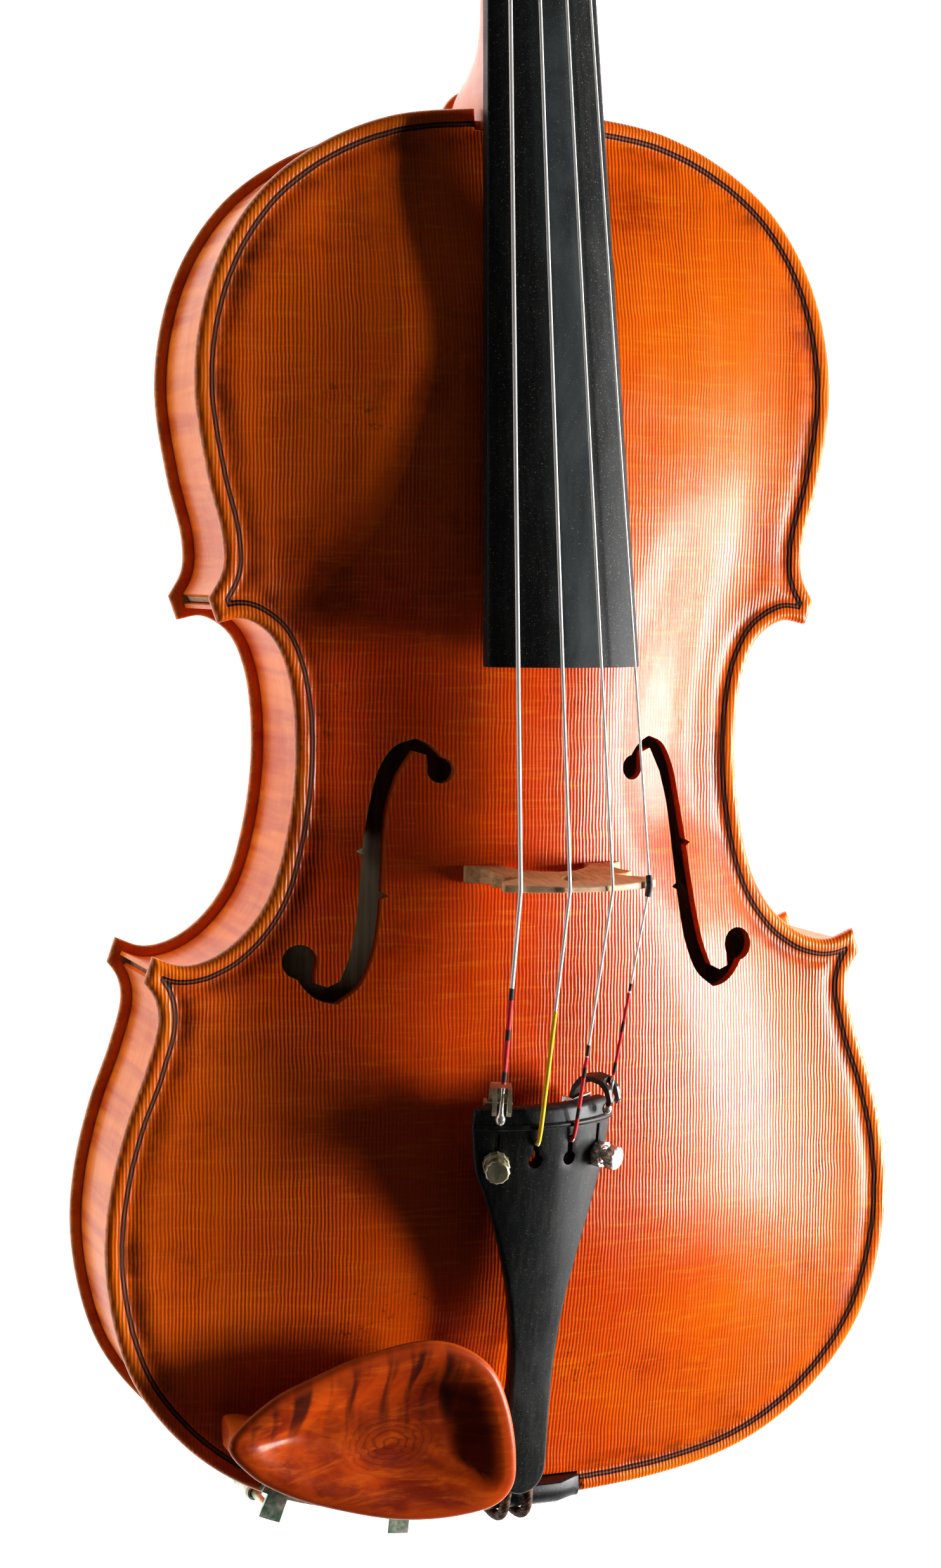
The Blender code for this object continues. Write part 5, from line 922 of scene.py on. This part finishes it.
# How far past the nut each peg is in mm, and the side that its hole widens to
PEG_PLACES = ((20, -1), (56, -1), (74, 1), (38, 1))
# A peg hole's two ends: how far out, and its radius
PEG_HOLE = ((-26.6 * MM, 3.24 * MM), (26.6 * MM, 4.07 * MM))
NECK_DEPTH = 13.3 * MM


def board_z(y):
    return EDGE_Z + BOARD_RISE - BOARD_SLOPE * (y - BODY_TOP_Y)


def board_half(y):
    return BOARD_NUT_HALF + BOARD_SPREAD * (NUT_Y - y) / BOARD_LENGTH


def crown(x):
    return BOARD_RADIUS - math.sqrt(BOARD_RADIUS ** 2 - x ** 2)


def board_top(x, y):
    return board_z(y) + BOARD_THICKNESS + crown(board_half(y)) - crown(x)


def fingerboard():
    """The board, hollowed underneath between its free end and the body's edge."""
    end = NUT_Y - BOARD_LENGTH
    hollow = BODY_TOP_Y - 12 * MM
    rings = []
    for y in [NUT_Y - FIT, *(NUT_Y - FIT + (hollow - NUT_Y) * k / 20 for k in range(1, 20)), hollow,
              *(hollow + (end + 0.3 * MM - hollow) * k / 16 for k in range(1, 17)), end]:
        half = board_half(y) - (0.25 * MM if y == end else 0)
        low = 0.2 * MM if y == end else 0
        scoop = 3.2 * MM if y < hollow - 1e-6 else 0
        ring = [(-half, y, board_z(y) + 1.2 * MM)]
        for k in range(33):
            x = half * math.sin(math.pi / 2 * (k / 16 - 1))
            soft = 0.35 * MM * (abs(x) / half) ** 60
            ring.append((x, y, board_top(x, y) - soft - low))
        ring.append((half, y, board_z(y) + 1.2 * MM))
        for k in range(9):
            a = math.pi / 2 * (1 - k / 4)
            ring.append((0.96 * half * math.sin(a), y, board_z(y) + FIT + scoop * math.cos(a)))
        rings.append(ring)
    piece("fingerboard_wood", *loft(rings), ebony("fingerboard_ebony", dust=0.6, painted_sheen_band=True),
          nodes=("fingerboard",), slot="ebony", sharp=30, turn=True)


def u_section(y, half, top, depth, power, taper, count=40):
    """A section that hangs below a flat top: a half circle at power 2, squarer above that."""
    ring = []
    for k in range(count + 1):
        a = math.pi * k / count
        x = half * math.copysign(abs(math.cos(a)) ** (2 / power), math.cos(a))
        down = math.sin(a) ** (2 / power)
        ring.append((x * (1 - taper * down), y, top - depth * down))
    return ring


def flowing(rows, step):
    """Rows of numbers led by their place, filled in by a smooth curve through them."""
    rows = np.array(rows, float)
    t = rows[:, 0]
    slope = np.gradient(rows, t, axis=0)
    out = []
    for k in range(len(t) - 1):
        span = t[k + 1] - t[k]
        count = max(int(span / step), 1)
        for n in range(count):
            s = n / count
            out.append((2 * s ** 3 - 3 * s ** 2 + 1) * rows[k] + (s ** 3 - 2 * s ** 2 + s) * span * slope[k]
                       + (3 * s ** 2 - 2 * s ** 3) * rows[k + 1] + (s ** 3 - s ** 2) * span * slope[k + 1])
    return out + [rows[-1]]


def scroll_half(turn):
    """Half of the scroll's width: narrow round the outer turn, full at the eye."""
    narrow = 0.31 + 0.15 * max(1 - turn / 0.45, 0) ** 2
    return EYE_HALF * (narrow + 0.69 * min(max((turn - 0.4) / 1.7, 0), 1))


def scroll_point(turn, radius):
    a = math.radians(SCROLL_START) + 2 * math.pi * turn
    return VOLUTE_Y + radius * math.cos(a), board_z(VOLUTE_Y) - SCROLL_DROP + radius * math.sin(a)


def volute():
    """The scroll's spiral of walls and terraces, each wall a little hollow."""
    total = int(SCROLL_TURNS * SCROLL_STEPS)
    verts = []
    for k in range(total + 1):
        turn = k / SCROLL_STEPS
        first = k < SCROLL_STEPS
        high = scroll_half(turn)
        low = high - 1.2 * MM if first else scroll_half(turn - 1)
        radius = SCROLL_RADIUS * SCROLL_SHRINK ** turn
        foot = scroll_point(turn, radius)
        rim = scroll_point(turn, radius * (0.94 if first else 0.97))
        verts += [(low, *foot), (high, *rim), (-low, *foot), (-high, *rim)]
    faces = []
    for k in range(total):
        n = 4 * k
        m = n + 4
        faces += [(n, m, m + 1, n + 1), (n + 2, n + 3, m + 3, m + 2)]
        if k < SCROLL_STEPS:
            faces.append((n, n + 2, m + 2, m))
        if k + SCROLL_STEPS < total:
            q = n + 4 * SCROLL_STEPS
            faces += [(n + 1, m + 1, q + 4, q), (n + 3, q + 2, q + 6, m + 3)]
    q = 4 * SCROLL_STEPS
    faces.append((0, 1, q, q + 2, 3, 2))
    eye = [4 * k + 1 for k in range(total - SCROLL_STEPS, total + 1)]
    middle = len(verts)
    centre = scroll_point(0, 0)
    verts += [(scroll_half(SCROLL_TURNS), *centre), (-scroll_half(SCROLL_TURNS), *centre)]
    for a, b in zip(eye, eye[1:]):
        faces += [(a, b, middle), (a + 2, middle + 1, b + 2)]
    last = 4 * total
    for a, b in ((eye[-1], last), (last, eye[0])):
        faces += [(a, b, middle), (a + 2, middle + 1, b + 2)]
    return verts, faces


def shaped(obj, tools):
    """Joins or cuts the object with each tool in turn, and removes the tools."""
    for operation, other in tools:
        step = obj.modifiers.new(other.name, "BOOLEAN")
        step.operation = operation
        step.solver = "EXACT"
        step.object = other
    graph = bpy.context.evaluated_depsgraph_get()
    mesh = bpy.data.meshes.new_from_object(obj.evaluated_get(graph))
    obj.modifiers.clear()
    obj.data = mesh
    for _, other in tools:
        bpy.data.objects.remove(other)


def bevelled(obj, name, width, angle):
    step = obj.modifiers.new(name, "BEVEL")
    step.width = width * MM
    step.segments = 2
    step.limit_method = "ANGLE"
    step.angle_limit = math.radians(angle)


def neck():
    """Heel, neck, pegbox and scroll as one piece, with the pegs' slot and holes cut into it."""
    rings = []
    for along, half, share, power, taper in flowing(HEEL, 1.5):
        y = BODY_TOP_Y + along * MM
        deep = board_z(y) - RIB_LOW_Z - FIT
        rings.append(u_section(y, half * MM, board_z(y), deep * share, power, taper))
    start = rings[-1][0][1]
    _, heel_half, heel_share, power, _ = HEEL[-1]
    for k in range(1, 13):
        y = start + (NUT_Y - start) * k / 12
        blend = min(k / 3, 1)
        half = heel_half * MM * (1 - blend) + (board_half(y) - FIT) * blend
        deep = (board_z(y) - RIB_LOW_Z - FIT) * heel_share * (1 - blend) + NECK_DEPTH * blend
        rings.append(u_section(y, half, board_z(y), deep, power, 0))
    for along, half, drop, depth in flowing(PEGBOX, 2.5):
        y = NUT_Y + along * MM
        rings.append(u_section(y, half * MM, board_z(y) - drop * MM, depth * MM, 7, 0))
    obj = drawn_object("neck_and_scroll", *loft(rings))
    slot = []
    top = EDGE_Z + BOARD_RISE
    for along, half, depth in flowing(PEG_SLOT, 6):
        y = NUT_Y + along * MM
        low = board_z(y) - depth * MM
        inner = half * MM
        slot.append([(-inner, y, low), (inner, y, low), (inner, y, top), (-inner, y, top)])
    tools = [("UNION", drawn_object("volute", *volute())),
             ("DIFFERENCE", drawn_object("slot", *loft(slot)))]
    for along, side in PEG_PLACES:
        y = NUT_Y + along * MM
        z = board_z(y) - 7.7 * MM - 0.04 * along * MM
        rings = [[(side * out, y + r * math.cos(a), z + r * math.sin(a))
                  for a in (2 * math.pi * n / 40 for n in range(40))] for out, r in PEG_HOLE]
        tools.append(("DIFFERENCE", drawn_object(f"hole_{along}", *loft(rings))))
    shaped(obj, tools)
    dressed(obj, maple("neck"), 32)
    bevelled(obj, "worn_edges", 0.35, 50)
    settle(obj, "viola", ("neck",))


# ---------------------------------------------------------------- tailpiece and chin rest

TAIL_PLAN = ((0, 0.95), (0.5, 0.99), (2.5, 1.0), (10, 0.98), (18.9, 0.922), (23.6, 0.845), (28.4, 0.772),
             (38, 0.638), (47.6, 0.517), (57.2, 0.418), (66.9, 0.353))


# The tailpiece's middle, left of the body's, and its top's height over the plate's edge
TAIL_X = -2.9 * MM
TAIL_Z = EDGE_Z + 13.2 * MM
TAIL_HALF = 23.2 * MM
TAIL_THICKNESS = 5 * MM
TAIL_RINGS = (0.12, 0.35, 0.7, 1.1, 1.5)
# The keyholes: how far from the middle, their radii, the widths and the reaches of their slots
OUTER_KEYHOLE = (16.6 * MM, 2.8 * MM * TAIL_RADIUS / (TAIL_RADIUS - TAIL_THICKNESS), 1.2 * MM, 8.5 * MM)
INNER_KEYHOLE = (5.6 * MM, 2.1 * MM, 1.8 * MM, 6.6 * MM)
# The string ridge: its place below the tailpiece's top, its section and its reach to each side
RIDGE_DROP = 5 * MM
RIDGE_Y = TAIL_TOP_Y - RIDGE_DROP
RIDGE_SECTION = ((-0.8, 0.3), (-0.62, 0.62), (-0.3, 0.8), (0.3, 0.8), (0.62, 0.62), (0.8, 0.3))
RIDGE_REACH = 46.4 * MM * 0.485
GUT_BORE_U = 3.9 * MM
GUT_BORE_DEPTH = -3.1 * MM


def tail_surface(plan, lift):
    """Points on the tailpiece's crowned top for plan points (u, y), lifted along its normal."""
    u = plan[:, 0]
    tilt = np.arcsin(u / TAIL_RADIUS) - TAIL_ROLL
    normal = np.column_stack([np.sin(tilt), -TAIL_SLOPE * np.cos(tilt), np.cos(tilt)])
    normal /= np.linalg.norm(normal, axis=1)[:, None]
    drop = TAIL_RADIUS - np.sqrt(TAIL_RADIUS ** 2 - u ** 2)
    away = plan[:, 1] - TAIL_LOW_Y
    across = u * math.cos(TAIL_ROLL) + drop * math.sin(TAIL_ROLL)
    up = u * math.sin(TAIL_ROLL) - drop * math.cos(TAIL_ROLL)
    base = np.column_stack([TAIL_X + across, plan[:, 1], TAIL_Z + TAIL_SLOPE * away + up])
    return base + normal * np.asarray(lift)[..., None]


def tail_point(u, y, lift):
    return tail_surface(np.array([[u, y]]), [lift])[0]


def keyhole(u, radius, width, reach):
    start = math.asin(width / 2 / radius)
    loop = [Vector((u + width / 2, HOLE_Y + reach)), Vector((u, HOLE_Y + reach + 0.2 * MM)),
            Vector((u - width / 2, HOLE_Y + reach))]
    for k in range(33):
        a = math.pi / 2 + start + (2 * math.pi - 2 * start) * k / 32
        loop.append(Vector((u + radius * math.cos(a), HOLE_Y + radius * math.sin(a))))
    return loop


def tail_outline():
    line = [Vector((TAIL_HALF * w, TAIL_TOP_Y - d * MM)) for d, w in TAIL_PLAN]
    line += [Vector((7.2 * MM, TAIL_LOW_Y + share * TAIL_LENGTH)) for share in (0.34, 0.22)]
    end = 7.7 * MM
    line.append(Vector((end, TAIL_LOW_Y + end)))
    line += [Vector((end * math.cos(a), TAIL_LOW_Y + end * (1 - math.sin(a))))
             for a in (math.radians(15 * d) for d in range(1, 7))]
    half = curve_through(line, 150)
    top = Vector((0, TAIL_TOP_Y))
    half = [top] + between(top, half[0], step=MM) + half
    half[-1].x = 0
    return mirrored(reversed(half[1:-1])) + half


def tailpiece():
    outline = tail_outline()
    holes = [keyhole(side * u, *size) for u, *size in (OUTER_KEYHOLE, INNER_KEYHOLE) for side in (-1, 1)]
    inner = clear_of(holes, ringed(outline, 1.6 * MM, 1.9 * MM, TAIL_RINGS), 0.3 * MM)
    points, cells = plan_mesh(outline, holes, inner)
    gap = gap_to(points, outline + outline[:1])
    hole_gap = gap_to(points, *[hole + hole[:1] for hole in holes])
    bevel = 1.2 * MM * np.maximum(points[:, 1] - RIDGE_Y, 0) / RIDGE_DROP
    tail_end = np.maximum(1 - (points[:, 1] - TAIL_LOW_Y) / (0.3 * TAIL_LENGTH), 0)
    thick = TAIL_THICKNESS + 1.2 * MM * np.minimum(tail_end * 2, 1)
    soft = edge_drop(gap, 1.3 * MM, 0.9 * MM) + edge_drop(hole_gap, 0.35 * MM, 0.2 * MM)
    under = edge_drop(gap, 0.9 * MM, 0.6 * MM)
    verts, faces, _ = sheet_solid(points, cells, tail_surface(points, under - thick),
                                  tail_surface(points, -bevel - soft))
    look = ebony("tailpiece_ebony", dust=0.3)
    obj = piece("tailpiece_wood", verts, faces, look, nodes=("tailpiece",), slot="ebony", sharp=40)
    tools = []
    for sign in (-1, 1):
        bore = [tail_point(sign * GUT_BORE_U, TAIL_LOW_Y + along * MM, GUT_BORE_DEPTH)
                for along in (-3, 12)]
        tools.append(("DIFFERENCE", drawn_object(f"gut_bore_{sign + 1}", *sweep(bore, 1.95 * MM, 24))))
    shaped(obj, tools)
    rings = []
    for k in range(41):
        u = RIDGE_REACH * (k / 20 - 1)
        low = min(1, 6 * (1 - abs(k / 20 - 1)) + 0.35)
        rings.append([tuple(tail_point(u, RIDGE_Y + along * MM, (0.3 + (lift - 0.3) * low) * MM))
                      for along, lift in RIDGE_SECTION])
    piece("tailpiece_ridge", *loft(rings), look, nodes=("tailpiece_fret",), slot="ebony", sharp=60,
          turn=True)


CUP_RINGS = (0.08, 0.3, 0.65, 1.1, 1.6, 2.2, 2.9, 3.6, 4.3)
# The cup's rim over the plate's edge, its bowl's depth and its thickness
CUP_HEIGHT = 26 * MM
CUP_BOWL = 7 * MM
CUP_THICKNESS = 6 * MM
# Its foot's underside over the plate's edge, and the two ends that the foot fades at
FOOT_HEIGHT = 3.7 * MM
FOOT_LEFT_X = -97 * MM
FOOT_RIGHT_X = -26 * MM


def smooth(share):
    """Eases a share between 0 and 1 in and out."""
    return share ** 2 * (3 - 2 * share)


def chin_rest():
    """The carved cup over the bass side, with its rolled rim and the hollow for the chin."""
    rim = curve_through(drawn(CUP_OUTLINE), 220, closed=True)[:-1]
    inner = ringed(rim, 1.9 * MM, 4.6 * MM, CUP_RINGS)
    points, cells = plan_mesh(rim, [], inner)
    depth = gap_to(points, rim + rim[:1])
    bowl = smooth(np.clip((depth - 3.6 * MM) / (14 * MM), 0, 1))
    top = EDGE_Z + CUP_HEIGHT - CUP_BOWL * bowl - edge_drop(depth, 2.4 * MM, 1.7 * MM)
    # Its foot comes down to the pad along the body's edge, and fades at both ends
    x = points[:, 0]
    body_edge = [Vector((-p.x, p.y)) for p in RUNS[0]]
    foot = np.clip((18 * MM - gap_to(points, body_edge)) / (5 * MM), 0, 1)
    foot *= np.clip((x - FOOT_LEFT_X) / (6 * MM), 0, 1) * np.clip((FOOT_RIGHT_X - x) / (6 * MM), 0, 1)
    foot = smooth(foot)
    shell = top - CUP_THICKNESS + edge_drop(depth, 2 * MM, 1.5 * MM)
    low = (1 - foot) * shell + foot * (EDGE_Z + FOOT_HEIGHT)
    inward = np.mean(flat(rim), 0) - points
    inward /= np.linalg.norm(inward, axis=1)[:, None]
    side = np.clip(1 - depth / (8 * MM), 0, 1)
    shift = inward * (side * (4 * MM * (1 - foot) + 0.6 * MM * foot))[:, None]
    verts, faces, used = sheet_solid(points, cells, np.column_stack([points + shift, low]),
                                     np.column_stack([points, top]))
    piece("chin_rest_cup", verts, faces, figured_wood(), nodes=("chin_rest",), slot="chin_rest_wood",
          sharp=60, fields={"rim": np.tile(depth[used] / MM, 2)})


# ---------------------------------------------------------------- strings, gut and small parts

# Each string's route in mm from the pegs to the tailpiece
STRING_ROUTES = {
    "c": (0.6, ((-6.63, 371.99, 46.74), (-8.57, 355.35, 59.49), (-8.59, 355.18, 59.61), (-8.6, 354.99, 59.69),
                (-8.61, 354.78, 59.73), (-19.39, -14.63, 109.23), (-19.4, -14.74, 109.24),
                (-19.4, -14.86, 109.24), (-19.4, -14.97, 109.22), (-20.35, -69.78, 100.59))),
    "g": (0.5, ((-4.48, 406.61, 40.32), (-2.87, 355.23, 60.33), (-2.87, 355.05, 60.38), (-2.87, 354.96, 60.4),
                (-6.46, -14.6, 113.28), (-6.47, -14.87, 113.28), (-6.47, -15.0, 113.26),
                (-8.49, -83.31, 99.55), (-8.5, -83.49, 99.5), (-8.5, -87.48, 98.01), (-8.5, -87.94, 97.7),
                (-8.5, -88.22, 97.21), (-8.5, -88.24, 96.65), (-8.51, -87.3, 91.76))),
    "d": (0.43, ((4.13, 424.58, 37.22), (2.87, 355.2, 60.28), (2.87, 355.06, 60.31), (2.87, 354.99, 60.33),
                 (6.46, -14.58, 113.0), (6.46, -14.87, 113.01), (6.46, -15.02, 112.99), (3.02, -83.31, 97.74),
                 (3.01, -83.44, 97.7), (2.82, -87.46, 96.29), (2.76, -87.93, 95.99), (2.64, -88.21, 95.52),
                 (2.48, -88.24, 94.98), (1.05, -87.34, 90.31))),
    "a": (0.36, ((6.23, 389.48, 42.96), (8.59, 355.27, 59.37), (8.6, 355.03, 59.45), (8.61, 354.91, 59.47),
                 (19.39, -14.57, 109.02), (19.4, -14.87, 109.02), (19.38, -15.02, 109.0),
                 (14.99, -69.9, 96.11))),
}
# The balls inside the tailpiece: the last points of the two middle strings, with their radii
STRING_KNOBS = {
    "g": (((-8.51, -87.3, 91.76), 0.5), ((-8.51, -87.18, 91.17), 1.4), ((-8.51, -86.96, 89.99), 1.7),
          ((-8.52, -86.69, 88.62), 1.7), ((-8.52, -86.62, 88.22), 1.0)),
    "d": (((1.05, -87.34, 90.31), 0.43), ((0.87, -87.23, 89.74), 1.4), ((0.53, -87.01, 88.61), 1.7),
          ((0.12, -86.76, 87.3), 1.7), ((0.01, -86.69, 86.92), 1.0)),
}
# The share of each string's way below the bridge that lies in sight. The rest is in the tailpiece.
OPEN_SHARE = {"c": 1.0, "g": 0.86, "d": 0.86, "a": 1.0}
# Where a string's dark mark and its silk begin, as shares of what lies in sight, where the silk
# ends, as a share of the whole way, and its colour. A mark that would begin at 0 is left out.
SILK = {
    "c": (0.50, 0.56, 1.0, "red"), "g": (0.0, 0.50, 0.985, "yellow"),
    "d": (0.66, 0.71, 0.985, "red"), "a": (0.51, 0.56, 1.0, "red"),
}
# The last points of the routes on the bridge lie above this, in mm
BRIDGE_BACK_Y = -15.2
# How much thicker the dark mark and then the silk make a string's radius, in mm
MARK_THICKNESS = 0.09
SILK_THICKNESS = 0.05
WAY_STEPS = 200


def strings():
    wire = string_metal()
    threads = {"red": silk("red_silk", (0.80, 0.02, 0.03), (0.03, 0.01, 0.012), 26),
               "yellow": silk("yellow_silk", (1.0, 0.66, 0.0), (0.95, 0.52, 0.0), 40)}
    mark = silk("dark_mark", (0.025, 0.02, 0.02), (0.02, 0.02, 0.02), 40)
    for tag, (radius, route) in STRING_ROUTES.items():
        points = drawn(route)
        radii = [radius * MM] * len(points)
        if tag in STRING_KNOBS:
            knob = STRING_KNOBS[tag]
            points = points[:-1] + drawn(p for p, _ in knob)
            radii = radii[:-1] + [r * MM for _, r in knob]
        piece(f"{tag}_string_wire", *sweep(points, radii, 16), wire, nodes=(f"{tag}_string",),
              slot="string_steel", sharp=60, turn=True)
        bend = max(k for k, p in enumerate(route) if p[1] > BRIDGE_BACK_Y)
        line = evenly(drawn(route[bend:]), WAY_STEPS)
        first, middle, last, kind = SILK[tag]
        seen = OPEN_SHARE[tag]
        marked, wound, end = (int(WAY_STEPS * share) for share in (first * seen, middle * seen, last))
        thick = (radius + MARK_THICKNESS) * MM
        if first > 0:
            piece(f"{tag}_string_mark", *sweep(line[marked:wound + 1:4], thick, 12), mark,
                  slot="string_steel", turn=True)
        piece(f"{tag}_string_silk", *sweep(line[wound:end + 1:4], thick + SILK_THICKNESS * MM, 12),
              threads[kind], slot="string_steel", turn=True)


GUT_ROUTE = (
    (-6.93, -185.91, 74.97), (-6.93, -191.45, 73.97), (-6.93, -194.21, 73.44), (-6.93, -196.94, 72.76),
    (-6.93, -199.59, 71.83), (-6.93, -202.13, 70.66), (-6.93, -204.08, 68.65), (-6.93, -205.17, 66.08),
    (-6.94, -205.59, 63.3), (-6.97, -205.53, 60.49), (-6.94, -205.4, 57.68), (-6.74, -205.39, 54.88),
    (-6.45, -205.4, 52.08), (-6.19, -205.4, 49.28), (-6.02, -205.4, 46.47), (-5.87, -205.4, 43.67),
    (-5.71, -205.4, 40.86), (-5.42, -205.4, 38.06), (-4.53, -205.4, 35.43), (-2.44, -205.4, 33.6),
    (0.28, -205.4, 33.03), (2.93, -205.4, 33.87), (4.83, -205.4, 35.91), (5.48, -205.4, 38.61),
    (5.06, -205.4, 41.38), (4.37, -205.4, 44.11), (3.6, -205.4, 46.82), (2.82, -205.4, 49.51),
    (1.9, -205.4, 52.17), (0.9, -205.39, 54.8), (0.16, -205.4, 57.51), (0.0, -205.52, 60.31),
    (0.13, -205.59, 63.12), (0.16, -205.21, 65.9), (0.16, -204.18, 68.5), (0.16, -202.27, 70.55),
    (0.16, -199.79, 71.81), (0.16, -196.99, 71.92), (0.16, -194.2, 72.22), (0.16, -191.44, 72.75),
    (0.16, -188.69, 73.33), (0.16, -185.93, 73.89),
)


GUT_RADIUS = 1.6 * MM


def tail_gut():
    route = curve_through(drawn(GUT_ROUTE), 420)
    piece("tail_gut_cord", *sweep(route, GUT_RADIUS, 24, lobes=6, depth=0.16, twist=130), gut(),
          nodes=("tail_gut",), slot="gut", sharp=70, turn=True)


def refined(node, body, look, width=0.15, sharp=35, round_off=0):
    """A node's shape with softened edges, or rounded between its sharp edges."""
    obj = shown(f"{node}_finished", NODES[node].data.copy())
    work = bmesh.new()
    work.from_mesh(obj.data)
    bmesh.ops.remove_doubles(work, verts=work.verts, dist=2e-6)
    bmesh.ops.dissolve_limit(work, angle_limit=math.radians(0.6), verts=work.verts, edges=work.edges)
    if round_off:
        crease = work.edges.layers.float.new("crease_edge")
        for edge in work.edges:
            if edge.calc_face_angle(0) > math.radians(sharp):
                edge[crease] = 1.0
    work.to_mesh(obj.data)
    work.free()
    dressed(obj, look, sharp)
    if round_off:
        step = obj.modifiers.new("rounded", "SUBSURF")
        step.levels = step.render_levels = round_off
    else:
        bevelled(obj, "softened", width, sharp)
    settle(obj, body, (node,))


def small_parts():
    black = ebony("ebony_parts", dust=0.3, sheen=0.02)
    for node in ("nut", "saddle", "end_button"):
        refined(node, "viola", black, width=0.4)
    peg_look = ebony("peg_ebony", sheen=-0.12)
    wire = string_metal()
    for tag in "cgda":
        refined(f"{tag}_peg", f"{tag}_peg", peg_look, sharp=50, round_off=2)
        refined(f"{tag}_winding", f"{tag}_peg", wire, sharp=80, round_off=1)
    refined("bridge", "viola", bridge_wood(), width=0.35, sharp=25)
    old = metal("aged_nickel", (0.62, 0.58, 0.42), (0.30, 0.25, 0.13), 0.3, 0.8)
    new = metal("bright_nickel", (0.86, 0.84, 0.80), (0.55, 0.50, 0.42), 0.16, 0.35)
    chrome = metal("ball_steel", (0.8, 0.78, 0.74), (0.4, 0.38, 0.35), 0.12, 0.3)
    dark = metal("dark_steel", (0.10, 0.095, 0.09), (0.03, 0.025, 0.02), 0.35, 0.8)
    for tag, look, lever_look in (("c", old, old), ("a", new, dark)):
        refined(f"{tag}_knob", f"{tag}_knob", look, width=0.14, sharp=28)
        refined(f"{tag}_lever", f"{tag}_lever", lever_look, width=0.3, sharp=28)
        refined(f"{tag}_screw", f"{tag}_screw", look, width=0.1)
        refined(f"{tag}_lock_nut", "viola", look, width=0.14, sharp=28)
        refined(f"{tag}_tuner_frame", "viola", look, width=0.2)
        refined(f"{tag}_ball", f"{tag}_lever", chrome, sharp=80, round_off=2)
    clamp = metal("clamp_nickel", (0.72, 0.72, 0.62), (0.10, 0.30, 0.18), 0.3, 0.9)
    refined("chin_rest_bracket", "viola", clamp, width=0.3)
    refined("clamp_foot", "clamp_foot", clamp, width=0.3)
    for barrel in ("clamp_barrel_1", "clamp_barrel_2"):
        refined(barrel, barrel, clamp, width=0.25)
    felt = cloth()
    refined("chin_rest_pad", "viola", felt, width=0.4)
    refined("clamp_pad", "clamp_foot", felt, width=0.4)
    refined("string_protector", "viola", tube_rubber(), sharp=60, round_off=1)


# ---------------------------------------------------------------- camera, floor and light

WHITE = (1.0, 1.0, 1.0, 1.0)
FLOOR_REACH = 6.0
FLOOR_Z = -0.0005
FLOOR_GLOW = 1.15
# How strongly the surroundings light the viola. The camera sees them white.
WORLD_STRENGTH = 0.04
# Two narrow panels at the treble side: their places, their widths and heights, and their watts
PANELS = (
    ("upper_panel", (1.30, -0.32, 0.86), 0.5, 0.22, 23),
    ("lower_panel", (1.42, -0.36, 0.44), 0.6, 0.16, 26),
)
PANEL_TARGET = (0.0, -0.08, 0.05)
# The camera that was matched to the photo: its place, its three axes, and its lens over 36 mm
CAMERA_PLACE = (-0.301523, -0.059268, 0.804986)
CAMERA_AXES = (
    (0.933784, 0.010224, 0.357692), (0.018104, 0.996962, -0.075759), (-0.35738, 0.077218, 0.930762),
)
CAMERA_LENS = 63.48


def stage():
    data = bpy.data.meshes.new("floor")
    shape = bmesh.new()
    bmesh.ops.create_grid(shape, x_segments=2, y_segments=2, size=FLOOR_REACH)
    shape.to_mesh(data)
    shape.free()
    floor = shown("floor", data)
    floor.location.z = FLOOR_Z
    look = Look("pale_floor", Emission_Color=WHITE, Emission_Strength=FLOOR_GLOW)
    data.materials.append(look.done(look.mix(look.noise(3, 2), (0.86,) * 3, (0.90,) * 3), 0.9))


def surroundings():
    world = bpy.data.worlds.new("studio")
    world.use_nodes = True
    tree = world.node_tree
    back = tree.nodes["Background"]
    back.inputs["Color"].default_value = WHITE
    seen = tree.nodes.new("ShaderNodeLightPath")
    strength = tree.nodes.new("ShaderNodeMapRange")
    strength.inputs["To Min"].default_value = WORLD_STRENGTH
    strength.inputs["To Max"].default_value = 1.0
    tree.links.new(seen.outputs["Is Camera Ray"], strength.inputs["Value"])
    tree.links.new(strength.outputs[0], back.inputs["Strength"])
    bpy.context.scene.world = world
    bpy.context.scene.view_settings.view_transform = "Standard"
    bpy.context.scene.view_settings.look = "Medium High Contrast"


def panels():
    for name, place, width, height, power in PANELS:
        data = bpy.data.lights.new(name, "AREA")
        data.shape = "RECTANGLE"
        data.size = width
        data.size_y = height
        data.energy = power
        lamp = shown(name, data)
        lamp.location = place
        lamp.rotation_euler = (Vector(place) - Vector(PANEL_TARGET)).to_track_quat("Z", "Y").to_euler()


def camera():
    data = bpy.data.cameras.new("camera")
    data.sensor_width = 36
    data.lens = CAMERA_LENS
    data.clip_start = 0.01
    data.clip_end = 50
    cam = shown("camera", data)
    cam.matrix_world = Matrix.Translation(CAMERA_PLACE) @ Matrix(CAMERA_AXES).transposed().to_4x4()
    bpy.context.scene.camera = cam


# ---------------------------------------------------------------- all of it

def hidden_wood():
    """The wood inside the body keeps the frame's own shapes."""
    look = inner_wood()
    for name, node in NODES.items():
        if "block" in name or "linings" in name or name in ("bass_bar", "sound_post"):
            node.data.materials.clear()
            node.data.materials.append(look)


for step in (hidden_wood, belly, back, ribs, fingerboard, neck, tailpiece, chin_rest, strings, tail_gut,
             small_parts, stage, surroundings, panels, camera):
    step()
